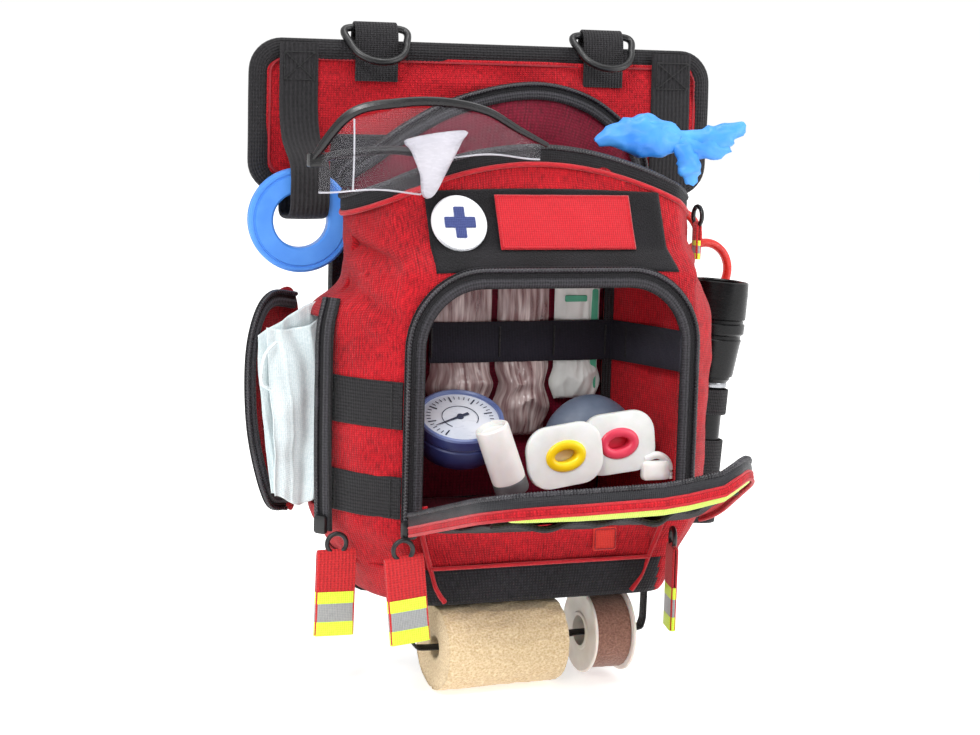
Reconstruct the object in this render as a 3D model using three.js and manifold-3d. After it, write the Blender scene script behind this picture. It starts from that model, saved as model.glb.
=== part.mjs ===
// Compact trauma backpack, opened, with the gear it carries.
// Millimetres. +X is the right-hand side as seen from the front, -Y is the front, +Z is up.
// The origin is on the rear face of the spine pad, at the middle of that face.
import * as THREE from 'three';
import { mergeVertices } from 'three/addons/utils/BufferGeometryUtils.js';
import Module from 'manifold-3d';

const wasm = await Module();
wasm.setup();

// ---------- driving dimensions (heights are above the base of the bag) ----------
const PAD_MIDDLE = 130;        // height of the middle of the spine pad
const GAP = 0.35;              // clearance between neighbouring pieces
const WALL = 3;                // fabric and foam wall of the bag
const BAG_REAR = -24;          // rear face of the bag body
const BAG_FRONT = -142.5;      // front face of the front compartment
const SHELF_HEIGHT = 214;      // top of the front compartment
const RIM_MIDDLE = 286;        // height of the front rim on the centre line
const RIM_DROP = 22;           // fall of the rim from the centre to RIM_SPAN
const RIM_SPAN = 96;
const WING = { halfWidth: 168, bottom: 251, top: 353, radius: 22, binding: 14 };
const WEBBING = 30;            // width of the hook straps and side webbing
const OPENING = { half: 88, bottom: 62, top: 200, radius: 38 };
const ZIP_BAND = 14;           // width of the zip tape round the opening
const DOOR = { y: -153, z: 55, half: 100, height: 157, radius: 48, open: 75 };
const LID = { y: -25.5, z: 256 };
const SLOPE = 24;              // lean of the hook and loop field, degrees
const COVER = { x: -137.5, y: -33, width: 58, open: 50 };
const ROLL = { radius: 29, bore: 9, length: 86, yaw: 3, x: -28, y: -120, z: -34 };
const SPOOL = { radius: 28, bore: 10, width: 30, x: 52, y: -112, z: -33 };
const TAPE = { outer: 34, bore: 18, width: 14, x: -138, y: -33, z: 235, yaw: -10 };
const TORCH = { x: 152, y: -50, z: 27, lean: 4, headRadius: 21, bodyRadius: 11 };
const PULL = { ring: 8, wire: 1.6, width: 26, length: 54, thickness: 2.6 };

// ---------- solid helpers ----------
const v2 = (p) => new THREE.Vector2(p[0], p[1]);
const radians = (degrees) => (degrees * Math.PI) / 180;

function solid(geometry) {
  const bare = geometry.clone();
  bare.deleteAttribute('normal');
  bare.deleteAttribute('uv');
  const merged = mergeVertices(bare, 1e-4);
  const position = merged.attributes.position;
  const index = [];
  for (let i = 0; i < merged.index.count; i += 3) {
    const corners = [0, 1, 2].map((k) => merged.index.array[i + k]);
    if (new Set(corners).size === 3) index.push(...corners);
  }
  let volume = 0;
  const a = new THREE.Vector3();
  const b = new THREE.Vector3();
  const c = new THREE.Vector3();
  for (let i = 0; i < index.length; i += 3) {
    a.fromBufferAttribute(position, index[i]);
    b.fromBufferAttribute(position, index[i + 1]);
    c.fromBufferAttribute(position, index[i + 2]);
    volume += a.dot(b.cross(c));
  }
  if (volume < 0) {
    for (let i = 0; i < index.length; i += 3) {
      [index[i + 1], index[i + 2]] = [index[i + 2], index[i + 1]];
    }
  }
  return new wasm.Manifold(new wasm.Mesh({
    numProp: 3,
    vertProperties: new Float32Array(position.array),
    triVerts: new Uint32Array(index),
  }));
}

function surface(manifold) {
  const mesh = manifold.getMesh();
  const geometry = new THREE.BufferGeometry();
  geometry.setAttribute('position', new THREE.BufferAttribute(new Float32Array(mesh.vertProperties), 3));
  geometry.setIndex(new THREE.BufferAttribute(new Uint32Array(mesh.triVerts), 1));
  geometry.computeVertexNormals();
  return geometry;
}

const join = (...parts) => parts.reduce((whole, part) => whole.add(part));
const cut = (base, ...tools) => tools.reduce((rest, tool) => rest.subtract(tool), base);

const AXES = {
  x: new THREE.Matrix4().makeBasis(
    new THREE.Vector3(0, 1, 0), new THREE.Vector3(0, 0, 1), new THREE.Vector3(1, 0, 0)),
  y: new THREE.Matrix4().makeRotationX(Math.PI / 2),
  z: new THREE.Matrix4(),
};

// Extrudes an outline along an axis: [y, z] outlines along x, [x, z] along y, [x, y] along z.
function prism(axis, outline, from, to) {
  const shape = new THREE.Shape(outline.map(v2));
  const geometry = new THREE.ExtrudeGeometry(shape, { depth: to - from, bevelEnabled: false });
  geometry.applyMatrix4(AXES[axis]);
  const start = axis === 'y' ? to : from;
  geometry.translate(axis === 'x' ? start : 0, axis === 'y' ? start : 0, axis === 'z' ? start : 0);
  return solid(geometry);
}

const box = (x0, x1, y0, y1, z0, z1) => prism('z', [[x0, y0], [x1, y0], [x1, y1], [x0, y1]], z0, z1);

function arc(cx, cy, radius, from, to, steps) {
  const points = [];
  for (let i = 0; i <= steps; i += 1) {
    const angle = radians(from + ((to - from) * i) / steps);
    points.push([cx + radius * Math.cos(angle), cy + radius * Math.sin(angle)]);
  }
  return points;
}

function roundedRect(x0, x1, z0, z1, r, steps = 4) {
  return [
    ...arc(x1 - r, z0 + r, r, -90, 0, steps), ...arc(x1 - r, z1 - r, r, 0, 90, steps),
    ...arc(x0 + r, z1 - r, r, 90, 180, steps), ...arc(x0 + r, z0 + r, r, 180, 270, steps),
  ];
}

// Square at the bottom, rounded at the top.
function archOutline(half, bottom, top, r, steps = 5) {
  return [
    [-half, bottom], [half, bottom],
    ...arc(half - r, top - r, r, 0, 90, steps), ...arc(-half + r, top - r, r, 90, 180, steps),
  ];
}

// Outline of a strip of even thickness along a line of points.
function ribbon(points, thickness) {
  const side = (sign) => points.map((p, i) => {
    const before = points[Math.max(i - 1, 0)];
    const after = points[Math.min(i + 1, points.length - 1)];
    const dx = after[0] - before[0];
    const dy = after[1] - before[1];
    const size = Math.hypot(dx, dy);
    return [p[0] - (sign * thickness * dy) / (2 * size), p[1] + (sign * thickness * dx) / (2 * size)];
  });
  return [...side(-1), ...side(1).reverse()];
}

// Skin through closed rings of points, closed at both ends.
function loft(rings) {
  const count = rings[0].length;
  const index = [];
  const top = (rings.length - 1) * count;
  for (let k = 0; k < rings.length - 1; k += 1) {
    for (let i = 0; i < count; i += 1) {
      const a = k * count + i;
      const b = k * count + ((i + 1) % count);
      index.push(a, b, b + count, a, b + count, a + count);
    }
  }
  for (let i = 1; i < count - 1; i += 1) index.push(0, i + 1, i, top, top + i, top + i + 1);
  const geometry = new THREE.BufferGeometry();
  geometry.setAttribute('position', new THREE.Float32BufferAttribute(rings.flat(2), 3));
  geometry.setIndex(index);
  return solid(geometry);
}

// Body of revolution about z from a closed [radius, z] profile.
function turned(profile, segments = 20) {
  const geometry = new THREE.LatheGeometry([...profile, profile[0]].map(v2), segments);
  geometry.rotateX(Math.PI / 2);
  return solid(geometry);
}

const moved = (part, x, y, z) => part.translate([x, y, z]);
const yawed = (part, degrees) => part.rotate([0, 0, degrees]);

function turnedAbout(part, axis, degrees, [x, y, z]) {
  const angles = { x: [degrees, 0, 0], y: [0, degrees, 0], z: [0, 0, degrees] }[axis];
  return part.translate([-x, -y, -z]).rotate(angles).translate([x, y, z]);
}

// ---------- the pack ----------
const pack = new THREE.Group();
pack.name = 'trauma_backpack';
pack.position.z = -PAD_MIDDLE;

const FINISH = {
  redFabric: [0xc8202c, 0.85], lining: [0x8c0a32, 0.8], blackFabric: [0x2b292c, 0.9],
  blackPlastic: [0x151517, 0.45], torchMetal: [0x101012, 0.25], steel: [0xb9bcc0, 0.3],
  redPlastic: [0xd42a22, 0.4], bluePlastic: [0x4d93e0, 0.35], nitrile: [0x4aa4ee, 0.5],
  clear: [0xe8eef2, 0.1], pouch: [0xd8cfc8, 0.3], paper: [0xe6e4dc, 0.8], gauze: [0xead0a6, 0.9],
  tape: [0xa27a60, 0.85], navy: [0x2d3a78, 0.4], whitePlastic: [0xf1f0ec, 0.4],
  greyRubber: [0x66738c, 0.6], reflective: [0xd6ff3a, 0.4], maskCloth: [0xe4eef0, 0.9],
};

function add(name, manifold, finish) {
  const [color, roughness] = FINISH[finish];
  const mesh = new THREE.Mesh(surface(manifold), new THREE.MeshStandardMaterial({ color, roughness }));
  mesh.name = name;
  pack.add(mesh);
}

// ---------- bag body: plan sections from the base to above the rim ----------
const SECTIONS = [
  // height, rear half, side half, side y back and front, corner half and y, front half and y
  [0, 86, 104, -36, -88, 90, -120, 82, -134],
  [46, 112, 135, -36, -97, 106, -133, 100, BAG_FRONT],
  [180, 112, 137, -36, -97, 106, -133, 100, BAG_FRONT],
  [197, 86, 121, -66, -92, 103, -131, 98, BAG_FRONT],
  [SHELF_HEIGHT, 86, 120, -66, -90, 102, -129, 97, BAG_FRONT + 0.5],
  [SHELF_HEIGHT + 5, 86, 120, -66, -86, 102, -116, 95, -126],
  [264, 86, 120, -66, -74, 106, -95, 95, -106],
  [300, 86, 118, -62, -68, 101, -86, 90, -101],
];

function hull(offset, floor = 0) {
  return loft(SECTIONS.map(([z, rear, side, backY, sideY, corner, cornerY, front, frontY]) => {
    const half = [
      [rear + offset, BAG_REAR + offset], [side + offset, backY + offset * 0.4],
      [side + offset, sideY - offset * 0.4], [corner + offset * 0.8, cornerY - offset * 0.8],
      [front + offset * 0.4, frontY - offset],
    ];
    const height = z === 0 ? floor : z;
    const left = half.map(([x, y]) => [-x, y, height]);
    const right = half.map(([x, y]) => [x, y, height]).reverse();
    return [...left, ...right];
  }));
}

const rimHeight = (x) => RIM_MIDDLE - RIM_DROP * (x / RIM_SPAN) ** 2;
const rimLine = (lift) => [-130, -110, -88, -66, -44, -22, 0, 22, 44, 66, 88, 110, 130]
  .map((x) => [x, rimHeight(x) + lift]);
const aboveRim = (lift) => prism('y', [...rimLine(lift), [130, 340], [-130, 340]], -180, 0);

const frontWindow = prism('y', archOutline(OPENING.half, OPENING.bottom, OPENING.top, OPENING.radius),
  -160, -135);
const sideWindow = box(-150, -128, -88, -40, 52, 176);
const pocketBack = box(-119, -116.5, -95, BAG_REAR - 2, WALL - 1, 250).intersect(hull(-1));
const shell = join(cut(hull(0), hull(-WALL, WALL)), pocketBack);
add('body_shell', cut(shell, aboveRim(0), box(-130, 130, -34, -10, 254, 340), frontWindow, sideWindow),
  'redFabric');

const baseSkin = cut(hull(2.4, -2.4), hull(GAP, -GAP), box(-160, 160, -160, 0, 20, 400));
add('base_cover', cut(baseSkin, box(-160, 160, BAG_REAR - 1, 10, -10, 400)), 'blackFabric');

// ---------- front compartment ----------
const tray = (back, mouth, y0, y1) => [[-back, y0], [-mouth, y1], [mouth, y1], [back, y0]];
add('front_liner', cut(
  prism('z', tray(68, 96.5, -67.5, -135.5), 50, 207),
  prism('z', tray(65.5, 95.5, -70, -138), 52.5, 204.5)), 'lining');

const outerBand = archOutline(OPENING.half + ZIP_BAND, 50, OPENING.top + ZIP_BAND, OPENING.radius + ZIP_BAND);
const innerBand = archOutline(OPENING.half, 40, OPENING.top, OPENING.radius);
const frameFront = BAG_FRONT - GAP;
add('frame_zip', join(
  cut(prism('y', outerBand, frameFront - 4, frameFront), prism('y', innerBand, -160, -130)),
  box(-103, -92, frameFront - 4.4, frameFront - 1, 45, 55)), 'blackFabric');

add('elastic_band', prism('z', ribbon([[-62, -77.8], [65, -77.8], [68.6, -80], [92.5, -134]], 1.5),
  147, 169), 'blackFabric');

// ---------- door of the front compartment, modelled shut and then swung open ----------
const swung = (part) => turnedAbout(part, 'x', DOOR.open, [0, DOOR.y, DOOR.z]);
const doorOutline = (inset) => archOutline(
  DOOR.half - inset, DOOR.z + 2, DOOR.z + DOOR.height - inset, DOOR.radius - inset);
const doorBox = prism('y', doorOutline(0), DOOR.y - 6, DOOR.y + 2.5);
const doorHollow = prism('y', doorOutline(4), DOOR.y - 3, DOOR.y + 10);
add('front_door', swung(cut(doorBox, doorHollow)), 'redFabric');
add('door_zip', swung(cut(
  prism('y', doorOutline(0), DOOR.y + 2.5 + GAP, DOOR.y + 5.6),
  prism('y', [...doorOutline(6).slice(2), [-DOOR.half + 6, 40], [DOOR.half - 6, 40]],
    DOOR.y, DOOR.y + 10))), 'blackFabric');
add('door_pocket', swung(prism('y', roundedRect(-90, 90, DOOR.z + 10, DOOR.z + 112, 14),
  DOOR.y - 8.6, DOOR.y - 6 - GAP)), 'blackFabric');
add('door_reflective_strip', swung(prism('y',
  [[-88, DOOR.z + 115], [88, DOOR.z + 115], [84, DOOR.z + 137], [-84, DOOR.z + 137]],
  DOOR.y - 7.2, DOOR.y - 6 - GAP)), 'reflective');

// ---------- hook and loop field with its two patches ----------
const loopSkin = cut(hull(2.9), hull(GAP));
add('loop_field', loopSkin.intersect(box(-81, 86, -150, -100, 221, 259)), 'blackFabric');
const onSlope = (part) => turnedAbout(part, 'x', -SLOPE, [0, 0, 0]).translate([0, -121.2, 239]);
add('round_patch', moved(onSlope(turned([[0, 0], [18.5, 0], [18.5, 2.2], [0, 2.2]], 24)
  .rotate([90, 0, 0])), -60, 0, 0), 'whitePlastic');
add('name_patch', onSlope(box(-34, 60, -2, 0, -18, 19)), 'redPlastic');

// ---------- mouth of the main compartment and its lid ----------
const rimBand = cut(hull(3.2), hull(GAP));
add('rim_zip', cut(rimBand, aboveRim(2), box(-160, 160, -60, 10, -20, 400),
  cut(box(-160, 160, -200, 20, -10, 400), aboveRim(-8))), 'blackFabric');

const LID_OUTLINE = [
  [-111, 257], [111, 257], [113, 272], [107, 288], [92, 304], [68, 319], [38, 326.5], [6, 324.5],
  [-32, 314], [-62, 298], [-90, 278], [-108, 266],
];
const lidInner = LID_OUTLINE.map(([x, z]) => [x * 0.93, 257 + (z - 257) * 0.88 - (z < 260 ? 9 : 0)]);
add('lid', prism('y', LID_OUTLINE, LID.y - 1.2, LID.y + 1.2), 'redFabric');
add('lid_zip', cut(prism('y', LID_OUTLINE, LID.y - 5, LID.y - 1.2 - GAP),
  prism('y', lidInner, -40, -10)), 'blackFabric');

// ---------- wing panel, straps and rings at the top of the back ----------
const wingOutline = (inset) => roundedRect(-WING.halfWidth + inset, WING.halfWidth - inset,
  WING.bottom + inset, WING.top - inset, Math.max(WING.radius - inset, 8));
add('wing_binding', cut(prism('y', wingOutline(0), -15.5, -7.5),
  prism('y', wingOutline(WING.binding), -20, 0)), 'blackFabric');
add('wing_panel', prism('y', wingOutline(WING.binding + GAP), -14.7, -8.3), 'redFabric');

const RING_LOOP = [[-17.2, 328], [-17.2, 356], [-15.4, 362.5], [-11.5, 365.2], [-7.6, 362.5],
  [-5.9, 356], [-5.9, 328]];
const ringOutline = [[-21.5, 2.2], [21.5, 2.2], ...arc(0, -12, 21.5, 0, -180, 10)];
const ringHole = [[-17.2, -1.8], [17.2, -1.8], ...arc(0, -12, 17.2, 0, -180, 10)];
for (const [side, x] of [['left', -82], ['right', 83]]) {
  add(`ring_loop_${side}`, prism('x', ribbon(RING_LOOP, 1.5), x - 15, x + 15), 'blackFabric');
  const ring = cut(prism('y', ringOutline, -1.8, 1.8), prism('y', ringHole, -5, 5));
  add(`d_ring_${side}`, moved(ring.rotate([-42, 0, 0]), x, -11.5, 360.5), 'blackPlastic');
}

// The left strap comes forward, passes back through the bore of the tape reel and turns up.
const TAPE_STRAP = [[-17.4, 348], [-17.4, 305], [-24, 286], [-46, 272], [-47.4, 244], [-44, 238.5],
  [-32, 236.6], [-21.5, 238.5], [-19.4, 244], [-19.4, 266]];
add('hook_strap_left', prism('x', ribbon(TAPE_STRAP, 2.2), -149, -122.5), 'blackFabric');
add('hook_strap_right', box(120, 120 + WEBBING, -18.4, -16, 206, 348), 'blackFabric');

const reel = turned([[TAPE.bore, -TAPE.width / 2], [TAPE.outer - 1.5, -TAPE.width / 2],
  [TAPE.outer, -TAPE.width / 2 + 1.5], [TAPE.outer, TAPE.width / 2 - 1.5],
  [TAPE.outer - 1.5, TAPE.width / 2], [TAPE.bore, TAPE.width / 2]], 28).rotate([90, 0, 0]);
add('tape_reel', moved(yawed(reel, TAPE.yaw), TAPE.x, TAPE.y, TAPE.z), 'bluePlastic');

// ---------- back of the pack ----------
add('back_panel', prism('y', [...arc(-78, 8, 28, 180, 270, 4), ...arc(78, 8, 28, 270, 360, 4),
  [112, 160], [112, 290], [-112, 290], [-112, 160]], BAG_REAR + GAP, -15.8), 'blackFabric');
add('spine_pad', prism('y', roundedRect(-38, 38, PAD_MIDDLE - 118, PAD_MIDDLE + 118, 14), -15.4, 0),
  'blackFabric');
for (const [side, sign] of [['left', -1], ['right', 1]]) {
  const pad = [[46, 324], [84, 324], [100, 300], [102, 150], [94, 112], [70, 112], [62, 150], [46, 290]];
  const tail = [[76, 116], [92, 116], [98, 14], [82, 14]];
  const flip = (points) => (sign < 0 ? points.map(([x, z]) => [-x, z]).reverse() : points);
  add(`shoulder_strap_${side}`, join(prism('y', flip(pad).reverse(), -7.2, -1.2),
    prism('y', flip(tail).reverse(), -7.2, -5.4)), 'blackFabric');
}

// ---------- left side: webbing, pocket cover, zips and mask ----------
function webbing(name, z0, z1) {
  const strip = [[-104.4, -138.6], [-139.5, -99.8]];
  add(name, prism('z', ribbon(strip, 1.8), z0, z1), 'blackFabric');
}
webbing('side_webbing_upper', 112, 112 + WEBBING);
webbing('side_webbing_lower', 55, 55 + WEBBING - 3);

const opened = (part) => turnedAbout(part, 'z', -COVER.open, [COVER.x, COVER.y, 0]);
const coverOutline = (inset) => [
  [COVER.y, 52 + inset], [COVER.y, 180 - inset], [COVER.y - 34, 186 - inset],
  [COVER.y - 51 + inset / 2, 172 - inset / 2], [COVER.y - COVER.width + inset, 144],
  [COVER.y - 53 + inset, 92], [COVER.y - 34 + inset / 2, 56 + inset], [COVER.y - 14, 48 + inset]];
add('pocket_cover', opened(prism('x', coverOutline(0), COVER.x - 2.5, COVER.x)), 'redFabric');
add('cover_zip', opened(cut(prism('x', coverOutline(0), COVER.x + GAP, COVER.x + 3),
  prism('x', coverOutline(5), -170, -100), box(-150, -130, COVER.y - 12, -20, 0, 250))), 'blackFabric');
add('pocket_zip', join(prism('x', ribbon([[-95, 44], [-94.5, 100], [-94, 150], [-92, 186]], 6),
  -142.2, -137.4), box(-144, -138, -100, -91, 43, 53)), 'blackFabric');
add('face_mask', moved(yawed(box(-23, 23, -4, 4, 0, 118), 14), -149.5, -68, 56), 'maskCloth');

// ---------- zip pulls: a wire ring through a folded webbing tab ----------
function pull(name, x, y, z, width, length, yaw) {
  const ring = solid(new THREE.TorusGeometry(PULL.ring - PULL.wire, PULL.wire, 6, 16)
    .rotateX(Math.PI / 2)).translate([0, 0, -PULL.ring]);
  const tab = box(-width / 2, width / 2, -PULL.thickness / 2, PULL.thickness / 2,
    -2 * PULL.ring + 3 - length, -2 * PULL.ring + 3);
  add(name, moved(yawed(join(ring, tab), yaw), x, y, z), 'redFabric');
}
pull('pull_door_left', -104, -153, 46, PULL.width, PULL.length, 0);
pull('pull_door_right', 80, -160, 46, PULL.width - 4, PULL.length, 90);
pull('pull_side', -133, -111, 43, PULL.width, PULL.length, 0);
pull('pull_lid', 127, -84, 250, 8, 24, 90);

// ---------- right side: holder, torch and shears ----------
const leaning = (part) => turnedAbout(part, 'y', TORCH.lean, [TORCH.x, TORCH.y, TORCH.z]);
const stadium = (r) => [[-24, -r], ...arc(0, 0, r, -90, 90, 8), [-24, r]];
const sleeve = (z0, z1, floor) => leaning(moved(cut(
  prism('z', stadium(14.2), z0, z1), prism('z', stadium(12.2), z0 + floor, z1 + 1)),
TORCH.x, TORCH.y, TORCH.z));
const holderPanel = box(137.6, 140, -76, -16, 32, 150);
const holder = join(holderPanel, sleeve(74, 92, -1), sleeve(-3, 56, 2.2),
  cut(box(139, 156.5, -32, -17, 60, 110), box(141, 154.5, -30, -19, 50, 120)));
add('torch_holder', cut(holder, box(100, 137.6, -200, 0, 0, 300)), 'blackFabric');

const torch = (profile) => leaning(moved(turned(profile, 18), TORCH.x, TORCH.y, TORCH.z));
const { bodyRadius, headRadius } = TORCH;
add('torch_body', torch([[4.2, 3], [bodyRadius - 1, 3], [bodyRadius, 5], [bodyRadius, 96], [14, 99],
  [14, 118], [0, 118], [0, 9], [4.2, 9]]), 'torchMetal');
add('torch_head', torch([[14.4, 101], [16, 101], [headRadius - 2, 126], [headRadius, 130],
  [headRadius, 168], [headRadius - 2.5, 168], [headRadius - 2.5, 156], [0, 150], [0, 118.6],
  [14.4, 118.6]]), 'torchMetal');
add('torch_button', torch([[0, 1], [3.8, 1], [3.8, 5.8], [0, 5.8]]), 'blackPlastic');

function handle(x, z, r) {
  return solid(new THREE.TorusGeometry(r, 3.2, 6, 18).rotateX(Math.PI / 2)).scale([1, 1, 1.2])
    .translate([x, -24.5, z]);
}
add('shears_handles', join(handle(163, 198, 15.5), handle(139, 221, 16),
  prism('y', [[143, 160], [153, 160], [158, 182], [149, 200], [141, 203]], -27, -22)), 'redPlastic');
add('shears_blades', prism('y', [[143.5, 159.6], [152.5, 159.6], [151, 66], [147, 62], [143.5, 72]],
  -25.6, -23.2), 'steel');

// ---------- gear in the mouth of the main compartment ----------
const LENS_PLAN = [[-146, -100], [-128, -113], [-100, -118.5], [-72, -121], [-45, -120],
  [-22, -117], [-3, -114]];
const BROW = [[-151, 274], [-130, 303], [-102, 310.5], [-72, 312], [-43, 307], [-20, 296], [2, 286]];
const goggleWall = (thickness) => prism('z', ribbon(LENS_PLAN, thickness), 240, 330);
const raised = (line, lift) => line.map(([x, z]) => [x, z + lift]);
add('goggles_lens', goggleWall(2).intersect(prism('y',
  [[-151, 257], [2, 259], ...[...BROW].reverse()], -160, -60)), 'clear');
add('goggles_frame', goggleWall(6).intersect(prism('y',
  [...raised(BROW, GAP), ...raised(BROW, 6).reverse()], -160, -60)), 'blackPlastic');
const arm = prism('y', ribbon([[3, 0], [30, 4], [62, 5], [92, 0], [112, -7]], 6), -1.4, 1.4);
add('goggles_temple', moved(yawed(arm, 14), -146, -93, 278), 'blackPlastic');

const GLOVE = [[52, -80, 289, 3, 3], [66, -82, 289, 12, 8], [84, -86, 291, 19, 11],
  [102, -89, 288, 20, 13], [120, -92, 280, 16, 12], [134, -94, 283, 10, 9], [157, -96, 289, 5, 5]];
add('glove', loft(GLOVE.map(([x, y, z, ry, rz]) => arc(0, 0, 1, 0, 315, 7)
  .map(([a, b]) => [x, y + a * ry, z + b * rz]))), 'nitrile');

// ---------- gear in the front compartment ----------
add('pouch_left', box(-58, -16, -76, -70.8, 108, 200), 'pouch');
add('pouch_middle', box(-12, 23, -76, -70.8, 98, 200), 'pouch');
add('dressing_packet', box(28, 60, -75, -71, 120, 200), 'paper');

const gauge = turned([[0, -24], [24, -24], [27, -20], [27, -3], [25.5, 0], [0, 0]], 24);
add('pressure_gauge', moved(gauge.rotate([27, 0, 0]).rotate([0, -6, 0]), -52, -112.5, 115), 'navy');
const capsule = turned([[0, 0], [8.5, 0], [9.5, 1.5], [9.5, 44], [8.5, 45.5], [0, 45.5]], 18);
add('bandage_tube', moved(capsule.rotate([4, 0, 0]).rotate([0, -19, 0]), -24, -141.5, 69), 'whitePlastic');

function airway(name, x, y, z, roll, stub) {
  const flange = prism('y', roundedRect(-26, 26, -20, 20, 15), -2, 2);
  const throat = prism('y', roundedRect(-11.5, 11.5, -7.5, 7.5, 7), 1, stub);
  const bore = prism('y', roundedRect(-8, 8, -4.5, 4.5, 4), -6, stub + 2);
  add(name, moved(cut(join(flange, throat), bore).rotate([0, roll, 0]), x, y, z), 'whitePlastic');
}
airway('airway_yellow', 9, -142, 92, -8, 16);
airway('airway_red', 51, -132, 97, -6, 7);
add('squeeze_bulb', solid(new THREE.SphereGeometry(1, 16, 10)).scale([33, 18, 27])
  .translate([44, -103, 97]), 'greyRubber');

// ---------- rolls under the base ----------
const onRollAxis = (part) => moved(yawed(part.rotate([0, 90, 0]), ROLL.yaw), ROLL.x, ROLL.y, ROLL.z);
add('bandage_roll', onRollAxis(turned([[ROLL.bore, -ROLL.length / 2], [ROLL.radius, -ROLL.length / 2],
  [ROLL.radius, ROLL.length / 2], [ROLL.bore, ROLL.length / 2]], 24)), 'gauze');
const flange = SPOOL.width / 2;
add('tape_spool', moved(turned([[SPOOL.bore, -flange], [SPOOL.radius, -flange],
  [SPOOL.radius, -flange + 2], [SPOOL.radius - 3.5, -flange + 2], [SPOOL.radius - 3.5, flange - 2],
  [SPOOL.radius, flange - 2], [SPOOL.radius, flange], [SPOOL.bore, flange]], 24)
  .rotate([0, 90, 0]), SPOOL.x, SPOOL.y, SPOOL.z), 'tape');
const STRAP_PLAN = [[-86, -123], [16, -117.7], [36, -112.2], [84, -112]];
add('roll_strap', join(prism('z', ribbon(STRAP_PLAN, 11), ROLL.z - 1, ROLL.z + 1),
  box(-87, -85, -128.8, -117.2, ROLL.z - 1, -2.8), box(83, 85, -117.5, -106.5, ROLL.z - 1, -2.8)),
'blackFabric');

export default pack;
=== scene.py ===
"""Looks of an opened trauma backpack and its gear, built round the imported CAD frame.

Points in the helpers are (x, y, height) in millimetres: +x is to the right as seen from the front,
-y is the front, and height is above the base of the bag. piece() turns them into the frame's metres.
"""
import math

import bmesh
import bpy
import numpy as np
from mathutils import Matrix, Vector, noise


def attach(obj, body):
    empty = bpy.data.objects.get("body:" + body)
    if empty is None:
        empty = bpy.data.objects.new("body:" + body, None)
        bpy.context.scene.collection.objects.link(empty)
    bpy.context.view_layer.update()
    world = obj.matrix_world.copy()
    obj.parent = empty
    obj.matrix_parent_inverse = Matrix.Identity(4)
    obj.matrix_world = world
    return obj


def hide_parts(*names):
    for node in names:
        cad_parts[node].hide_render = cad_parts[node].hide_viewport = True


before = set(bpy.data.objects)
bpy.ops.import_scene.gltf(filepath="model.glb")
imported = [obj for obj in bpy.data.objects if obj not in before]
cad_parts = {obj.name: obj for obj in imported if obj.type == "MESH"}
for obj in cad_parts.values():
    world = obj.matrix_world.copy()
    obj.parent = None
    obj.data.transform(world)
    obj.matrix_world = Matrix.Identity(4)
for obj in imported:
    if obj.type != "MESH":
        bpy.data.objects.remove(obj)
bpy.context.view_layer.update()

# ---------- driving dimensions, as in the CAD ----------
MM = 0.001
PAD_MIDDLE = 130       # height of the frame's origin above the base of the bag
BAG_REAR = -24
BAG_FRONT = -142.5
RIM_MIDDLE, RIM_DROP, RIM_SPAN = 286, 22, 96
OPENING = {"half": 88, "bottom": 62, "top": 200, "radius": 38}
DOOR = {"y": -153, "z": 55, "half": 100, "height": 157, "radius": 48, "open": 75}
COVER = {"x": -137.5, "y": -33, "open": 50}
ROLL = {"radius": 29, "bore": 9, "length": 86, "yaw": 3, "place": (-28, -120, -34)}
SPOOL = {"radius": 28, "bore": 10, "width": 30, "place": (52, -112, -33)}


# ---------- camera ----------
def set_camera():
    turn, pitch, roll = (math.radians(a) for a in (-21.69, 7.82, 1.69))
    ahead = Vector((-math.sin(turn) * math.cos(pitch), math.cos(turn) * math.cos(pitch), -math.sin(pitch)))
    level = ahead.cross(Vector((0, 0, 1))).normalized()
    upright = level.cross(ahead)
    right = level * math.cos(roll) + upright * math.sin(roll)
    up = upright * math.cos(roll) - level * math.sin(roll)
    data = bpy.data.cameras.new("camera")
    data.lens = 79.7
    data.sensor_width = 36
    data.clip_start = 0.05
    camera = bpy.data.objects.new("camera", data)
    bpy.context.scene.collection.objects.link(camera)
    camera.matrix_world = Matrix((right, up, -ahead)).transposed().to_4x4()
    camera.location = (-0.5447, -1.4003, 0.2062)
    bpy.context.scene.camera = camera


set_camera()


# ---------- shapes: points with faces and a UV in millimetres at each corner ----------
class Shape:
    def __init__(self, points, faces, uvs):
        self.points = np.array(points, float).reshape(-1, 3)
        self.faces = list(faces)
        self.uvs = list(uvs)

    def __add__(self, other):
        shift = len(self.points)
        faces = self.faces + [tuple(i + shift for i in face) for face in other.faces]
        return Shape(np.vstack([self.points, other.points]), faces, self.uvs + other.uvs)

    def moved(self, matrix):
        m = np.array(matrix)
        return Shape(self.points @ m[:3, :3].T + m[:3, 3], self.faces, self.uvs)

    def bent(self, change):
        """change(points) gives the new points."""
        return Shape(change(self.points.copy()), self.faces, self.uvs)


def joined(shapes):
    whole = None
    for shape in shapes:
        whole = shape if whole is None else whole + shape
    return whole


def turned(degrees, axis):
    return Matrix.Rotation(math.radians(degrees), 4, axis)


def stack(*columns):
    return np.stack(columns, axis=-1)


def beads(low, swing, rate):
    """Size of a beaded cord by the length along it, for teeth and stitches."""
    return lambda length: low + swing * abs(math.sin(rate * length))


def at_share(line, share):
    """Coordinates at a share, from 0 to 1, of the points of a line."""
    marks = np.arange(len(line))
    return [np.interp(share * (len(line) - 1), marks, line[:, k]) for k in range(line.shape[1])]


def ring_faces(layers, count):
    """Faces between closed rings of count points that follow each other."""
    return [(k * count + i, k * count + (i + 1) % count, (k + 1) * count + (i + 1) % count,
             (k + 1) * count + i)
            for k in range(layers - 1) for i in range(count)]


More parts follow.
